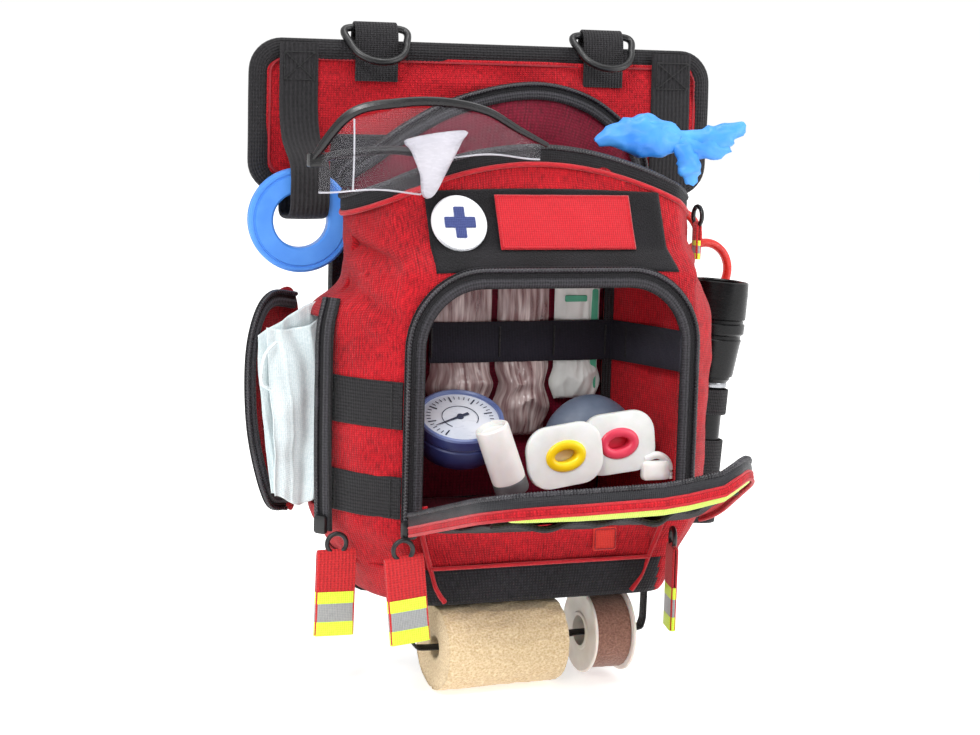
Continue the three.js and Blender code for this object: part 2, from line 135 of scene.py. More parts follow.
def at(x, y, z, turn=0, axis="Z"):
    return Matrix.Translation((x, y, z)) @ turned(turn, axis)


def grid(place, columns, rows, width, height, keep=None):
    """Sheet of columns by rows cells. place(u, v) takes arrays from 0 to 1 and gives x, y and height."""
    u, v = np.meshgrid(np.linspace(0, 1, columns + 1), np.linspace(0, 1, rows + 1))
    u, v = u.ravel(), v.ravel()
    x, y, z = place(u, v)
    points = np.stack([x + 0 * u, y + 0 * u, z + 0 * u], axis=1)
    faces = []
    for j in range(rows):
        for i in range(columns):
            a = j * (columns + 1) + i
            faces.append((a, a + 1, a + columns + 2, a + columns + 1))
    if keep is not None:
        centres = points[np.array(faces)].mean(axis=1)
        faces = [face for face, centre in zip(faces, centres) if keep(*centre)]
    used = sorted({i for face in faces for i in face})
    place_of = {old: new for new, old in enumerate(used)}
    uvs = [[(u[i] * width, v[i] * height) for i in face] for face in faces]
    faces = [tuple(place_of[i] for i in face) for face in faces]
    return Shape(points[used], faces, uvs)


def curve(points, step=2.0, closed=False):
    """Smooth line through the points, with even steps."""
    p = np.array(points, float)
    if len(p) > 2:
        before = np.vstack([p[-1:] if closed else 2 * p[:1] - p[1:2], p[:-1]])
        after = np.vstack([p[1:], p[:1] if closed else 2 * p[-1:] - p[-2:-1]])
        after2 = np.vstack([after[1:], after[:1] if closed else 2 * after[-1:] - after[-2:-1]])
        count = len(p) if closed else len(p) - 1
        t = np.linspace(0, 1, 12, endpoint=False)[:, None]
        line = []
        for i in range(count):
            a, b, c, d = before[i], p[i], after[i], after2[i]
            line.append(0.5 * (2 * b + (c - a) * t + (2 * a - 5 * b + 4 * c - d) * t ** 2
                               + (3 * b - a - 3 * c + d) * t ** 3))
        p = np.vstack(line + [p[:1] if closed else p[-1:]])
    return resampled(p, step, closed)


def resampled(points, step, closed=False):
    p = np.array(points, float)
    lengths = np.r_[0, np.cumsum(np.linalg.norm(np.diff(p, axis=0), axis=1))]
    count = max(int(round(lengths[-1] / step)), 2)
    marks = np.linspace(0, lengths[-1], count + 1)
    line = np.stack([np.interp(marks, lengths, p[:, k]) for k in range(3)], axis=1)
    return line[:-1] if closed else line


def sweep(path, section, up=(0, 0, 1), closed=False, scale=None):
    """Skin of a section carried along a path.

    A section point is (sideways, along up), and scale(length) sizes the section.
    """
    p = np.array(path, float)
    ups = np.broadcast_to(np.array(up, float), p.shape)
    if closed:
        tangent = np.roll(p, -1, axis=0) - np.roll(p, 1, axis=0)
    else:
        tangent = np.gradient(p, axis=0)
    tangent /= np.linalg.norm(tangent, axis=1, keepdims=True) + 1e-9
    normal = ups - (ups * tangent).sum(axis=1, keepdims=True) * tangent
    normal /= np.linalg.norm(normal, axis=1, keepdims=True) + 1e-9
    side = np.cross(tangent, normal)
    length = np.r_[0, np.cumsum(np.linalg.norm(np.diff(p, axis=0), axis=1))]
    size = np.ones(len(p)) if scale is None else np.array([scale(x) for x in length])
    ring = np.array(section, float)
    count, rings = len(ring), len(p)
    points = (p[:, None] + size[:, None, None] * (ring[None, :, :1] * side[:, None]
              + ring[None, :, 1:] * normal[:, None])).reshape(-1, 3)
    around = np.r_[0, np.cumsum(np.linalg.norm(np.diff(np.vstack([ring, ring[:1]]), axis=0), axis=1))]
    total = length[-1] + (np.linalg.norm(p[0] - p[-1]) if closed else 0)
    faces, uvs = [], []
    for k in range(rings if closed else rings - 1):
        nxt = (k + 1) % rings
        v0, v1 = length[k], length[nxt] if nxt else total
        for i in range(count):
            j = (i + 1) % count
            faces.append((k * count + i, k * count + j, nxt * count + j, nxt * count + i))
            uvs.append([(around[i], v0), (around[i + 1], v0), (around[i + 1], v1), (around[i], v1)])
    if not closed:
        for k in (0, rings - 1):
            faces.append(tuple(k * count + i for i in range(count)))
            uvs.append([(around[i], length[k]) for i in range(count)])
    return Shape(points, faces, uvs)


def round_section(radius, count=10):
    angles = [2 * math.pi * i / count for i in range(count)]
    return [(radius * math.cos(a), radius * math.sin(a)) for a in angles]


def oval_section(half_side, half_up, count=12):
    return [(half_side * a, half_up * b) for a, b in round_section(1, count)]


def flat_section(width, thick, crown=0.0, steps=8):
    """Webbing section with rounded edges and a slightly raised middle."""
    half, r = (width - thick) / 2, thick / 2
    top = [(half - 2 * half * i / steps, r + crown * math.sin(math.pi * i / steps)) for i in range(steps + 1)]
    left = [(-half + r * math.cos(a), r * math.sin(a)) for a in np.radians((135, 180, 225))]
    bottom = [(-half, -r), (0, -r), (half, -r)]
    right = [(half + r * math.cos(a), r * math.sin(a)) for a in np.radians((-45, 0, 45))]
    return top + left + bottom + right


def lathe(profile, segments=64, wobble=None):
    """Body of revolution about z through (radius, z) points."""
    faces, uvs, points = [], [], []
    along = np.r_[0, np.cumsum([math.dist(a, b) for a, b in zip(profile, profile[1:])])]
    for k in range(segments):
        angle = 2 * math.pi * k / segments
        for r, z in profile:
            grown = r if wobble is None else wobble(r, z, angle)
            points.append((grown * math.cos(angle), grown * math.sin(angle), z))
    count = len(profile)
    biggest = max(r for r, _ in profile)
    for k in range(segments):
        nxt = (k + 1) % segments
        u0, u1 = (2 * math.pi * biggest * x / segments for x in (k, k + 1))
        for i in range(count - 1):
            faces.append((k * count + i, nxt * count + i, nxt * count + i + 1, k * count + i + 1))
            uvs.append([(u0, along[i]), (u1, along[i]), (u1, along[i + 1]), (u0, along[i + 1])])
    return Shape(points, faces, uvs)


def slab(outline, thick, rings=3, puff=0.0):
    """Plate from an outline in the x-height plane: edges rounded over, the front (-y) raised by puff."""
    p = np.array(outline, float)
    middle = p.mean(axis=0)
    layers = []
    for depth, inset in ((thick / 2, 0.6), (thick / 2 * 0.4, 0.0), (-thick / 2 * 0.4, 0.0),
                         (-thick / 2, 0.6)):
        inner = middle + (p - middle) * (1 - inset / np.linalg.norm(p - middle, axis=1, keepdims=True))
        layers.append(np.stack([inner[:, 0], np.full(len(p), depth), inner[:, 1]], axis=1))
    for i in range(1, rings + 1):
        share = 1 - i / (rings + 0.4)
        inner = middle + (p - middle) * share
        lift = thick / 2 + puff * math.sin(math.pi / 2 * min(1, 1.5 * i / rings))
        layers.append(np.stack([inner[:, 0], np.full(len(p), -lift), inner[:, 1]], axis=1))
    points = np.vstack(layers)
    count = len(p)
    faces = ring_faces(len(layers), count)
    faces.append(tuple(range(count)))
    faces.append(tuple((len(layers) - 1) * count + i for i in range(count)))
    uvs = [[(points[i][0], points[i][2]) for i in face] for face in faces]
    return Shape(points, faces, uvs)


def arc(cx, cz, radius, start, end, steps=10):
    angles = np.radians(np.linspace(start, end, steps + 1))
    return [(cx + radius * math.cos(a), cz + radius * math.sin(a)) for a in angles]


def rounded(half_x, half_z, radius, cx=0, cz=0, steps=6):
    x, z = half_x - radius, half_z - radius
    return [*arc(cx + x, cz - z, radius, -90, 0, steps), *arc(cx + x, cz + z, radius, 0, 90, steps),
            *arc(cx - x, cz + z, radius, 90, 180, steps), *arc(cx - x, cz - z, radius, 180, 270, steps)]


def ellipse(half_x, half_z, count=60, x=0.0, y=0.0, z=0.0):
    """Closed upright oval that faces the front."""
    return [(x + half_x * math.cos(a), y, z + half_z * math.sin(a))
            for a in np.linspace(0, 2 * math.pi, count, endpoint=False)]


def soft_outline(corners, step):
    """Even points of a smooth closed outline through (x, z) corners."""
    return curve([(x, 0, z) for x, z in corners], step, closed=True)[:, [0, 2]]


def firm_outline(corners, step):
    """Even points of a closed outline with straight sides."""
    return resampled([(x, 0, z) for x, z in corners + corners[:1]], step, closed=True)[:, [0, 2]]


def hung(path, section):
    """Tape that lies level across x along its path."""
    return sweep(path, section, np.cross(np.gradient(path, axis=0), (1, 0, 0)))


def arch(half, bottom, top, radius):
    """Line up the left side, over the rounded top and down the right side."""
    return [(-half, bottom), *arc(-half + radius, top - radius, radius, 180, 90, 12),
            *arc(half - radius, top - radius, radius, 90, 0, 12), (half, bottom)]


def lift(points, size, amount, seed=0.0):
    """Smooth random heights at the points."""
    shift = Vector((seed, seed * 0.7, -seed))
    return amount * np.array([noise.noise(Vector(p) / size + shift) for p in points])


def piece(name, shape, material, body, replaces=(), solid=0.0, smooth=0, sharp=40):
    data = bpy.data.meshes.new(name)
    points = shape.points * MM
    points[:, 2] -= PAD_MIDDLE * MM
    data.from_pydata(points.tolist(), [], shape.faces)
    layer = data.uv_layers.new(name="millimetres")
    layer.data.foreach_set("uv", np.array([c for corners in shape.uvs for c in corners], float).ravel())
    bm = bmesh.new()
    bm.from_mesh(data)
    bmesh.ops.remove_doubles(bm, verts=bm.verts, dist=1e-6)
    bmesh.ops.recalc_face_normals(bm, faces=bm.faces)
    bm.to_mesh(data)
    bm.free()
    data.shade_smooth()
    data.set_sharp_from_angle(angle=math.radians(sharp))
    data.materials.append(material)
    obj = bpy.data.objects.new(name, data)
    bpy.context.scene.collection.objects.link(obj)
    if solid:
        modifier = obj.modifiers.new("thickness", "SOLIDIFY")
        modifier.thickness = solid * MM
        modifier.offset = 0
    if smooth:
        modifier = obj.modifiers.new("smooth", "SUBSURF")
        modifier.levels = smooth
        modifier.render_levels = smooth
    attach(obj, body)
    if replaces:
        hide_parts(*([replaces] if isinstance(replaces, str) else replaces))
    return obj


# ---------- materials ----------
def rgb(red, green, blue):
    def linear(c):
        c /= 255
        return c / 12.92 if c <= 0.04045 else ((c + 0.055) / 1.055) ** 2.4
    return (linear(red), linear(green), linear(blue), 1)


class Paint:
    """A Principled material and short ways to build the nodes that feed it."""

    def __init__(self, name, roughness=0.8, **sockets):
        self.material = bpy.data.materials.new(name)
        self.material.use_nodes = True
        self.nodes = self.material.node_tree.nodes
        self.links = self.material.node_tree.links
        self.shader = self.nodes["Principled BSDF"]
        self.shader.inputs["Roughness"].default_value = roughness
        for socket, value in sockets.items():
            self.shader.inputs[socket.replace("_", " ")].default_value = value
        self.uv = self.nodes.new("ShaderNodeUVMap").outputs["UV"]
        self.place = self.nodes.new("ShaderNodeTexCoord").outputs["Object"]

    def math(self, operation, a, b=0.0):
        node = self.nodes.new("ShaderNodeMath")
        node.operation = operation
        for socket, value in zip(node.inputs, (a, b)):
            if isinstance(value, (int, float)):
                socket.default_value = value
            else:
                self.links.new(value, socket)
        return node.outputs[0]

    def weighted(self, *parts):
        """Sum of (socket, weight) parts."""
        total = None
        for socket, weight in parts:
            term = self.math("MULTIPLY", socket, weight)
            total = term if total is None else self.math("ADD", total, term)
        return total

    def scaled(self, vector, factors):
        node = self.nodes.new("ShaderNodeMapping")
        node.inputs["Scale"].default_value = factors
        self.links.new(vector, node.inputs["Vector"])
        return node.outputs["Vector"]

    def noise(self, vector, scale, detail=3.0):
        node = self.nodes.new("ShaderNodeTexNoise")
        node.inputs["Scale"].default_value = scale
        node.inputs["Detail"].default_value = detail
        self.links.new(vector, node.inputs["Vector"])
        return node.outputs["Fac"]

    def ridges(self, axis, period):
        """Even ridges, from 0 to 1, every period millimetres across the UV axis."""
        split = self.nodes.new("ShaderNodeSeparateXYZ")
        self.links.new(self.uv, split.inputs[0])
        wave = self.math("SINE", self.math("MULTIPLY", split.outputs[axis], 2 * math.pi / period))
        return self.math("MULTIPLY", self.math("ADD", wave, 1.0), 0.5)

    def span(self, value, low, high, to_low=0.0, to_high=1.0):
        node = self.nodes.new("ShaderNodeMapRange")
        for socket, number in zip(node.inputs[1:5], (low, high, to_low, to_high)):
            socket.default_value = number
        self.links.new(value, node.inputs[0])
        return node.outputs[0]

    def mix(self, share, a, b):
        node = self.nodes.new("ShaderNodeMix")
        node.data_type = "RGBA"
        self.links.new(share, node.inputs["Factor"])
        for socket, value in ((node.inputs[6], a), (node.inputs[7], b)):
            if isinstance(value, tuple):
                socket.default_value = value
            else:
                self.links.new(value, socket)
        return node.outputs[2]

    def colour(self, socket):
        self.links.new(socket, self.shader.inputs["Base Color"])

    def rough(self, socket):
        self.links.new(socket, self.shader.inputs["Roughness"])

    def bump(self, height, depth, strength=1.0):
        node = self.nodes.new("ShaderNodeBump")
        node.inputs["Strength"].default_value = strength
        node.inputs["Distance"].default_value = depth * MM
        self.links.new(height, node.inputs["Height"])
        self.links.new(node.outputs[0], self.shader.inputs["Normal"])


def woven(name, dark, light, period=1.9, grain=5.0, depth=0.35, roughness=0.85, sheen=0.25):
    """Plain-weave cloth: crossing threads, long slubs and broad patches of wear."""
    paint = Paint(name, roughness, Sheen_Weight=sheen, Sheen_Roughness=0.5, Specular_IOR_Level=0.25)
    threads = paint.math("MULTIPLY", paint.ridges(0, period), paint.ridges(1, period * 0.8))
    slubs = paint.noise(paint.scaled(paint.uv, (0.9, 0.9 / grain, 1)), 1.0, 3.0)
    fluff = paint.noise(paint.uv, 0.55, 2.0)
    patches = paint.noise(paint.place, 22, 3.0)
    tone = paint.weighted((slubs, 0.8), (threads, 0.22), (patches, 0.35))
    paint.colour(paint.mix(paint.span(tone, 0.42, 0.88), rgb(*dark), rgb(*light)))
    paint.bump(paint.weighted((threads, 0.6), (slubs, 0.8), (fluff, 0.4)), depth)
    return paint.material


def webbing(name, dark, light, rib=2.2, cross=1.4, depth=0.4, roughness=0.75, sheen=0.2):
    """Narrow heavy tape: cords along it, fine picks across and a little fluff."""
    paint = Paint(name, roughness, Sheen_Weight=sheen, Specular_IOR_Level=0.3)
    cords = paint.ridges(0, rib)
    picks = paint.ridges(1, cross)
    fluff = paint.noise(paint.scaled(paint.uv, (1.2, 0.35, 1)), 1.0, 3.0)
    patches = paint.noise(paint.place, 30, 2.0)
    tone = paint.weighted((cords, 0.3), (fluff, 0.75))
    tone = paint.math("ADD", tone, paint.math("MULTIPLY", paint.math("MULTIPLY", picks, patches), 0.4))
    paint.colour(paint.mix(paint.span(tone, 0.3, 1.0), rgb(*dark), rgb(*light)))
    height = paint.math("ADD", cords, paint.math("MULTIPLY", picks, 0.5))
    paint.bump(paint.math("ADD", height, fluff), depth)
    return paint.material


def plastic(name, dark, light, roughness=0.35, depth=0.05, grain=0.4, **sockets):
    """Moulded plastic: faint mottling, scuffs in the gloss and a fine orange peel."""
    paint = Paint(name, roughness, **sockets)
    mottle = paint.noise(paint.place, 45, 4.0)
    paint.colour(paint.mix(paint.span(mottle, 0.3, 0.7), rgb(*dark), rgb(*light)))
    scuffs = paint.noise(paint.scaled(paint.place, (1, 1, 4)), 160, 5.0)
    paint.rough(paint.span(scuffs, 0.3, 0.75, roughness * 0.8, min(1, roughness * 1.35)))
    paint.bump(paint.noise(paint.place, 1000 * grain, 2.0), depth)
    return paint.material


def fuzzy(name, dark, light, scale=1.1, depth=0.7, sheen=0.6):
    """Brushed loop pile or felt."""
    paint = Paint(name, 0.95, Sheen_Weight=sheen, Sheen_Roughness=0.6, Specular_IOR_Level=0.15)
    curls = paint.noise(paint.uv, scale, 6.0)
    patches = paint.noise(paint.place, 35, 3.0)
    tone = paint.weighted((curls, 0.8), (patches, 0.3))
    paint.colour(paint.mix(paint.span(tone, 0.4, 0.75), rgb(*dark), rgb(*light)))
    paint.bump(curls, depth)
    return paint.material


def clear(name, tint, alpha, roughness=0.06, depth=0.02, **sockets):
    """Thin clear film or lens, a little hazy."""
    paint = Paint(name, roughness, **sockets)
    haze = paint.noise(paint.place, 60, 4.0)
    whiter = tuple(min(255, c + 12) for c in tint)
    paint.colour(paint.mix(haze, rgb(*tint), rgb(*whiter)))
    alpha_now = paint.span(haze, 0.3, 0.7, alpha * 0.85, alpha * 1.15)
    paint.links.new(alpha_now, paint.shader.inputs["Alpha"])
    paint.bump(haze, depth)
    return paint.material


def streaked_film(name, dark, light, alpha):
    """Pouch film, cloudy with long upright streaks."""
    paint = Paint(name, 0.22, Specular_IOR_Level=0.6)
    streaks = paint.noise(paint.scaled(paint.uv, (0.35, 0.03, 1)), 1.0, 3.0)
    paint.colour(paint.mix(paint.span(streaks, 0.35, 0.68), rgb(*dark), rgb(*light)))
    paint.links.new(paint.span(streaks, 0.3, 0.7, alpha, 0.97), paint.shader.inputs["Alpha"])
    paint.bump(streaks, 0.5)
    return paint.material


def crepe(name, dark, light):
    """Elastic bandage: coarse crinkled knit."""
    paint = Paint(name, 0.95, Sheen_Weight=0.3, Specular_IOR_Level=0.15)
    grain = paint.noise(paint.scaled(paint.uv, (0.8, 0.5, 1)), 1.0, 5.0)
    cells = paint.nodes.new("ShaderNodeTexVoronoi")
    cells.inputs["Scale"].default_value = 0.75
    paint.links.new(paint.uv, cells.inputs["Vector"])
    tone = paint.weighted((grain, 0.7), (cells.outputs[0], 0.35))
    paint.colour(paint.mix(paint.span(tone, 0.35, 0.85), rgb(*dark), rgb(*light)))
    paint.bump(tone, 0.9)
    return paint.material


RED = woven("red_cordura", (112, 2, 14), (206, 20, 34), depth=0.7, sheen=0.08)
WING_RED = woven("wing_red_cordura", (120, 3, 16), (206, 22, 36), grain=3.0, depth=0.6, sheen=0.08)
LINING = woven("crimson_lining", (84, 0, 24), (136, 4, 44), period=2.6, depth=0.3, roughness=0.6, sheen=0.06)
DOOR_RED = woven("door_red_cordura", (132, 5, 18), (208, 24, 38), depth=0.5, sheen=0.08)
BLACK = woven("black_cordura", (9, 9, 12), (44, 42, 47), period=2.4, depth=0.6, sheen=0.05)
WEBBING = webbing("charcoal_webbing", (9, 9, 11), (48, 46, 49), depth=0.6, sheen=0.05)
STRAP_BLACK = webbing("brushed_strap", (8, 8, 10), (46, 44, 47), rib=3.0, cross=0.9, sheen=0.05)
BINDING = webbing("ribbed_binding", (7, 7, 9), (42, 40, 43), rib=1.9, cross=2.4, sheen=0.05)
GREY_BINDING = webbing("grey_binding", (12, 12, 15), (64, 62, 68), rib=2.6, cross=1.8, roughness=0.6,
                       sheen=0.08)
SATIN_TAPE = webbing("satin_zip_tape", (8, 8, 11), (38, 38, 44), rib=1.2, cross=1.2, depth=0.12,
                     roughness=0.42,
                     sheen=0.03)
ZIP_TAPE = webbing("zip_tape", (6, 6, 8), (32, 31, 35), rib=1.6, cross=1.6, depth=0.25, sheen=0.04)
COIL = plastic("zip_coil", (14, 13, 17), (50, 48, 54), roughness=0.3)
ELASTIC = webbing("elastic_band", (8, 8, 18), (36, 34, 48), rib=30, cross=1.1, roughness=0.7, sheen=0.05)
RED_WEBBING = webbing("red_webbing", (160, 18, 26), (214, 40, 44), rib=2.4, cross=1.6)
PIPING_RED = woven("red_piping", (150, 12, 24), (206, 30, 42), period=1.2)
LOOP_PILE = fuzzy("loop_pile", (4, 4, 5), (34, 32, 36), sheen=0.08)
LABEL_RED = webbing("label_red", (186, 30, 24), (216, 52, 40), rib=1.2, cross=1.2, depth=0.2)
PATCH_RED = webbing("red_patch", (158, 8, 22), (206, 22, 38), rib=1.5, cross=1.5, depth=0.2)
PATCH_WHITE = webbing("white_patch", (222, 225, 232), (248, 249, 252), rib=1.2, cross=1.2, depth=0.15)
PATCH_BLUE = webbing("blue_patch", (42, 54, 108), (66, 78, 134), rib=1.2, cross=1.2, depth=0.2)
NEON = webbing("neon_tape", (196, 232, 32), (232, 255, 80), rib=1.4, cross=1.4, depth=0.12, roughness=0.5)
DULL_NEON = webbing("dull_neon_tape", (168, 192, 60), (206, 222, 104), rib=1.4, cross=1.4, depth=0.12,
                    roughness=0.5)
SILVER = webbing("silver_tape", (132, 134, 134), (170, 172, 172), rib=1.1, cross=1.1, depth=0.1,
                 roughness=0.35)
RING = plastic("black_acetal", (8, 8, 10), (26, 26, 28), roughness=0.34)
REEL_BLUE = plastic("reel_blue", (58, 126, 216), (78, 146, 230), roughness=0.45)
TORCH_BLACK = plastic("torch_black", (4, 4, 5), (14, 14, 16), roughness=0.25, Specular_IOR_Level=0.25)
TORCH_GLINT = plastic("torch_ring", (120, 122, 126), (168, 170, 174), roughness=0.25, Metallic=0.9)
RUBBER = plastic("switch_rubber", (30, 30, 32), (46, 46, 48), roughness=0.6)
SHEARS_RED = plastic("shears_red", (196, 26, 20), (226, 48, 34), roughness=0.3)
STEEL = plastic("steel", (150, 152, 156), (190, 192, 196), roughness=0.28, Metallic=0.95)
LENS = clear("clear_lens", (206, 204, 212), 0.03, 0.04)
LENS_EDGE = clear("lens_edge", (206, 206, 214), 0.5)
GOGGLE_BLACK = plastic("goggle_black", (6, 6, 8), (22, 21, 24), roughness=0.3)
NOSE_WHITE = plastic("nose_white", (172, 170, 180), (202, 200, 208), roughness=0.25, Alpha=0.88)
NITRILE = plastic("nitrile", (40, 122, 212), (78, 160, 236), roughness=0.42, depth=0.3, grain=0.2)
MASK = woven("mask_cloth", (206, 222, 226), (238, 246, 247), period=1.5, grain=2.0, depth=0.15)
FILM = streaked_film("pouch_film", (150, 112, 112), (224, 208, 204), 0.6)
PAPER = plastic("packet_paper", (226, 230, 226), (244, 246, 242), roughness=0.55)
PACKET_GREEN = plastic("packet_green", (60, 158, 124), (92, 186, 150), roughness=0.5)
NAVY = plastic("gauge_navy", (36, 46, 98), (58, 70, 124), roughness=0.35)
RING_BLUE = plastic("gauge_ring", (92, 108, 160), (122, 138, 184), roughness=0.3)
DIAL = plastic("dial_white", (214, 222, 236), (236, 240, 248), roughness=0.3)
INK = plastic("dial_ink", (36, 42, 62), (58, 64, 84), roughness=0.5)
MILK = plastic("milky_plastic", (228, 228, 224), (248, 248, 246), roughness=0.35, Subsurface_Weight=0.2,
               Subsurface_Scale=0.003)
AIR_YELLOW = plastic("airway_yellow", (246, 206, 0), (255, 226, 20), roughness=0.35)
AIR_RED = plastic("airway_red", (216, 44, 76), (236, 72, 98), roughness=0.35)
CAP_GREY = plastic("cap_grey", (60, 60, 62), (84, 84, 86), roughness=0.5)
BULB = plastic("bulb_rubber", (86, 98, 118), (116, 128, 148), roughness=0.5, depth=0.1)
GAUZE = crepe("crepe_bandage", (200, 170, 126), (246, 228, 194))
TAPE_BROWN = crepe("cloth_tape", (122, 84, 72), (168, 126, 110))
SPOOL_WHITE = plastic("spool_white", (222, 214, 206), (244, 240, 234), roughness=0.35, Subsurface_Weight=0.2,
                      Subsurface_Scale=0.003)
PAD_MESH = fuzzy("pad_mesh", (8, 8, 10), (38, 38, 42), scale=0.7, depth=0.5, sheen=0.08)
THREAD = plastic("thread_black", (12, 12, 13), (26, 26, 27), roughness=0.6)
THREAD_RED = plastic("thread_red", (120, 8, 20), (150, 14, 28), roughness=0.6)


# ---------- the bag's skin: plan outlines from the base up, blended smoothly ----------
SECTIONS = [
    # height, rear half, side half, side y back and front, corner half and y, front half and y
    [0, 86, 104, -36, -88, 90, -120, 82, -134],
    [46, 112, 135, -36, -97, 106, -133, 100, BAG_FRONT],
    [180, 112, 137, -36, -97, 106, -133, 100, BAG_FRONT],
    [197, 86, 121, -66, -92, 103, -131, 98, BAG_FRONT],
    [214, 86, 120, -66, -90, 102, -129, 97, BAG_FRONT + 0.5],
    [219, 86, 120, -66, -86, 102, -116, 95, -126],
    [264, 86, 120, -66, -74, 106, -95, 95, -106],
    [300, 86, 118, -62, -68, 101, -86, 90, -101],
]
ROW = 2.0   # height between the rows of the skin's table


def skin_table():
    heights = np.array([s[0] for s in SECTIONS], float)
    corners = []
    for _, rear, side, back_y, side_y, corner, corner_y, front, front_y in SECTIONS:
        right = [(front / 2, front_y), (front, front_y), (corner, corner_y), (side, side_y),
                 (side, back_y), (rear, BAG_REAR)]
        corners.append([(-x, y) for x, y in reversed(right)] + right)
    corners = np.array(corners, float)
    rows = np.arange(0, 300 + ROW, ROW)
    table = np.zeros((len(rows), *corners.shape[1:]))
    for shift in (-6, -3, 0, 3, 6):
        near = np.clip(rows + shift, 0, 300)
        for i in range(corners.shape[1]):
            for k in range(2):
                table[:, i, k] += np.interp(near, heights, corners[:, i, k]) / 5
    for _ in range(3):
        a, b = table[:, :-1], table[:, 1:]
        cut = np.stack([0.75 * a + 0.25 * b, 0.25 * a + 0.75 * b], axis=2)
        cut = cut.reshape(table.shape[0], -1, 2)
        cut[:, 0], cut[:, -1] = table[:, 0], table[:, -1]
        table = cut
    return table


SKIN = skin_table()
MIDDLE_ROW = SKIN[int(120 / ROW)]
ARC = np.r_[0, np.cumsum(np.linalg.norm(np.diff(MIDDLE_ROW, axis=0), axis=1))]
GIRTH = ARC[-1]       # round the sides and front at mid height, from back edge to back edge


def skin(s, height, off=0.0):
    """Point of the bag's skin at s mm round from the left back edge, raised off mm outwards."""
    s = np.asarray(s, float)
    height = np.asarray(height, float) + 0 * s

    def flat(s_here, h_here):
        column = np.interp(s_here, ARC, np.arange(len(ARC)))
        row = np.clip(h_here, 0, 300) / ROW
        c = np.minimum(column.astype(int), len(ARC) - 2)
        r = np.minimum(row.astype(int), len(SKIN) - 2)
        fc, fr = (column - c)[..., None], (row - r)[..., None]
        return ((SKIN[r, c] * (1 - fc) + SKIN[r, c + 1] * fc) * (1 - fr)
                + (SKIN[r + 1, c] * (1 - fc) + SKIN[r + 1, c + 1] * fc) * fr)

    p = flat(s, height)
    t = flat(np.minimum(s + 1.5, GIRTH), height) - flat(np.maximum(s - 1.5, 0), height)
    t /= np.linalg.norm(t, axis=-1, keepdims=True) + 1e-9
    x = p[..., 0] + off * t[..., 1]
    y = p[..., 1] - off * t[..., 0]
    return x, y, height


def rim_height(x):
    return RIM_MIDDLE - RIM_DROP * (np.asarray(x) / RIM_SPAN) ** 2


def skin_normal(s, height):
    near, far = (stack(*skin(s, height, off)) for off in (0.0, 1.0))
    return far - near


def crease(x, z, start, end, width, depth):
    """Valley of that depth with soft ridges beside it, along a line in the x-height plane."""
    (x0, z0), (x1, z1) = start, end
    dx, dz = x1 - x0, z1 - z0
    t = np.clip(((x - x0) * dx + (z - z0) * dz) / (dx * dx + dz * dz), 0, 1)
    away = np.hypot(x - x0 - t * dx, z - z0 - t * dz) / width
    fade = np.sin(np.pi * np.clip(t, 0.02, 0.98)) ** 1.3
    return -depth * fade * (np.exp(-away ** 2) - 0.55 * np.exp(-((away - 1.9) ** 2)))


CREASES = [
    ((-131, 232), (-96, 210), 4.5, 5.4), ((-130, 206), (-100, 172), 6.0, 4.4),
    ((-126, 246), (-92, 250), 5.0, 1.8), ((-127, 188), (-112, 160), 5.0, 2.0),
    ((-124, 48), (-104, 22), 6.0, 2.6), ((-96, 44), (-60, 26), 6.0, 1.8),
    ((60, 46), (98, 26), 6.0, 2.2), ((104, 196), (124, 222), 5.0, 2.6),
    ((100, 214), (120, 200), 4.0, 2.2), ((112, 240), (122, 214), 5.0, 2.0),
    ((-118, 100), (-102, 92), 5.0, 1.2), ((104, 150), (124, 128), 6.0, 1.8),
]


def skin_relief(x, y, z):
    """Pillows between the seams, creases and small rumples of the sewn cloth."""
    points = stack(x, y, z)
    relief = lift(points, 34, 1.6) + lift(points, 13, 0.7, 3.0) + lift(points, 5, 0.18, 8.0)
    front = y < -85
    for start, end, width, depth in CREASES:
        relief += np.where(front, crease(x, z, start, end, width, depth), 0)
    near_window = np.clip((98 - np.abs(x)) / 6, 0, 1) * (z > 52) * (z < 212)
    pillow = 2.4 * np.clip(1 - ((np.abs(x) - 114) / 12) ** 2, 0, 1) * (y < -100) * (z < 206)
    near_field = np.clip((88 - np.abs(x)) / 8, 0, 1) * (z > 216) * (z < 262)
    return (relief + pillow) * (1 - 0.8 * np.maximum(near_window, near_field))


def in_window(x, y, z):
    half, top, r = OPENING["half"] + 1.5, OPENING["top"] + 1.5, OPENING["radius"] + 1.5
    if y > -125 or abs(x) > half or z < OPENING["bottom"] or z > top:
        return False
    past_x, past_z = abs(x) - (half - r), z - (top - r)
    return not (past_x > 0 and past_z > 0 and math.hypot(past_x, past_z) > r)


def bag_shell():
    columns, rows = 210, 120

    def place(u, v):
        s = u * GIRTH
        x, y, _ = skin(s, 268)
        top = np.where(y > -60, 252.5, rim_height(x)) - 0.5
        z = v * top
        x, y, _ = skin(s, z)
        relief = skin_relief(x, y, z)
        return skin(s, z, relief)

    def keep(x, y, z):
        side_opening = x < -125 and -88 < y < -40 and 52 < z < 176
        return not in_window(x, y, z) and not side_opening

    shape = grid(place, columns, rows, GIRTH, 270, keep)
    piece("bag_shell", shape, RED, "pack", "body_shell", solid=1.8)


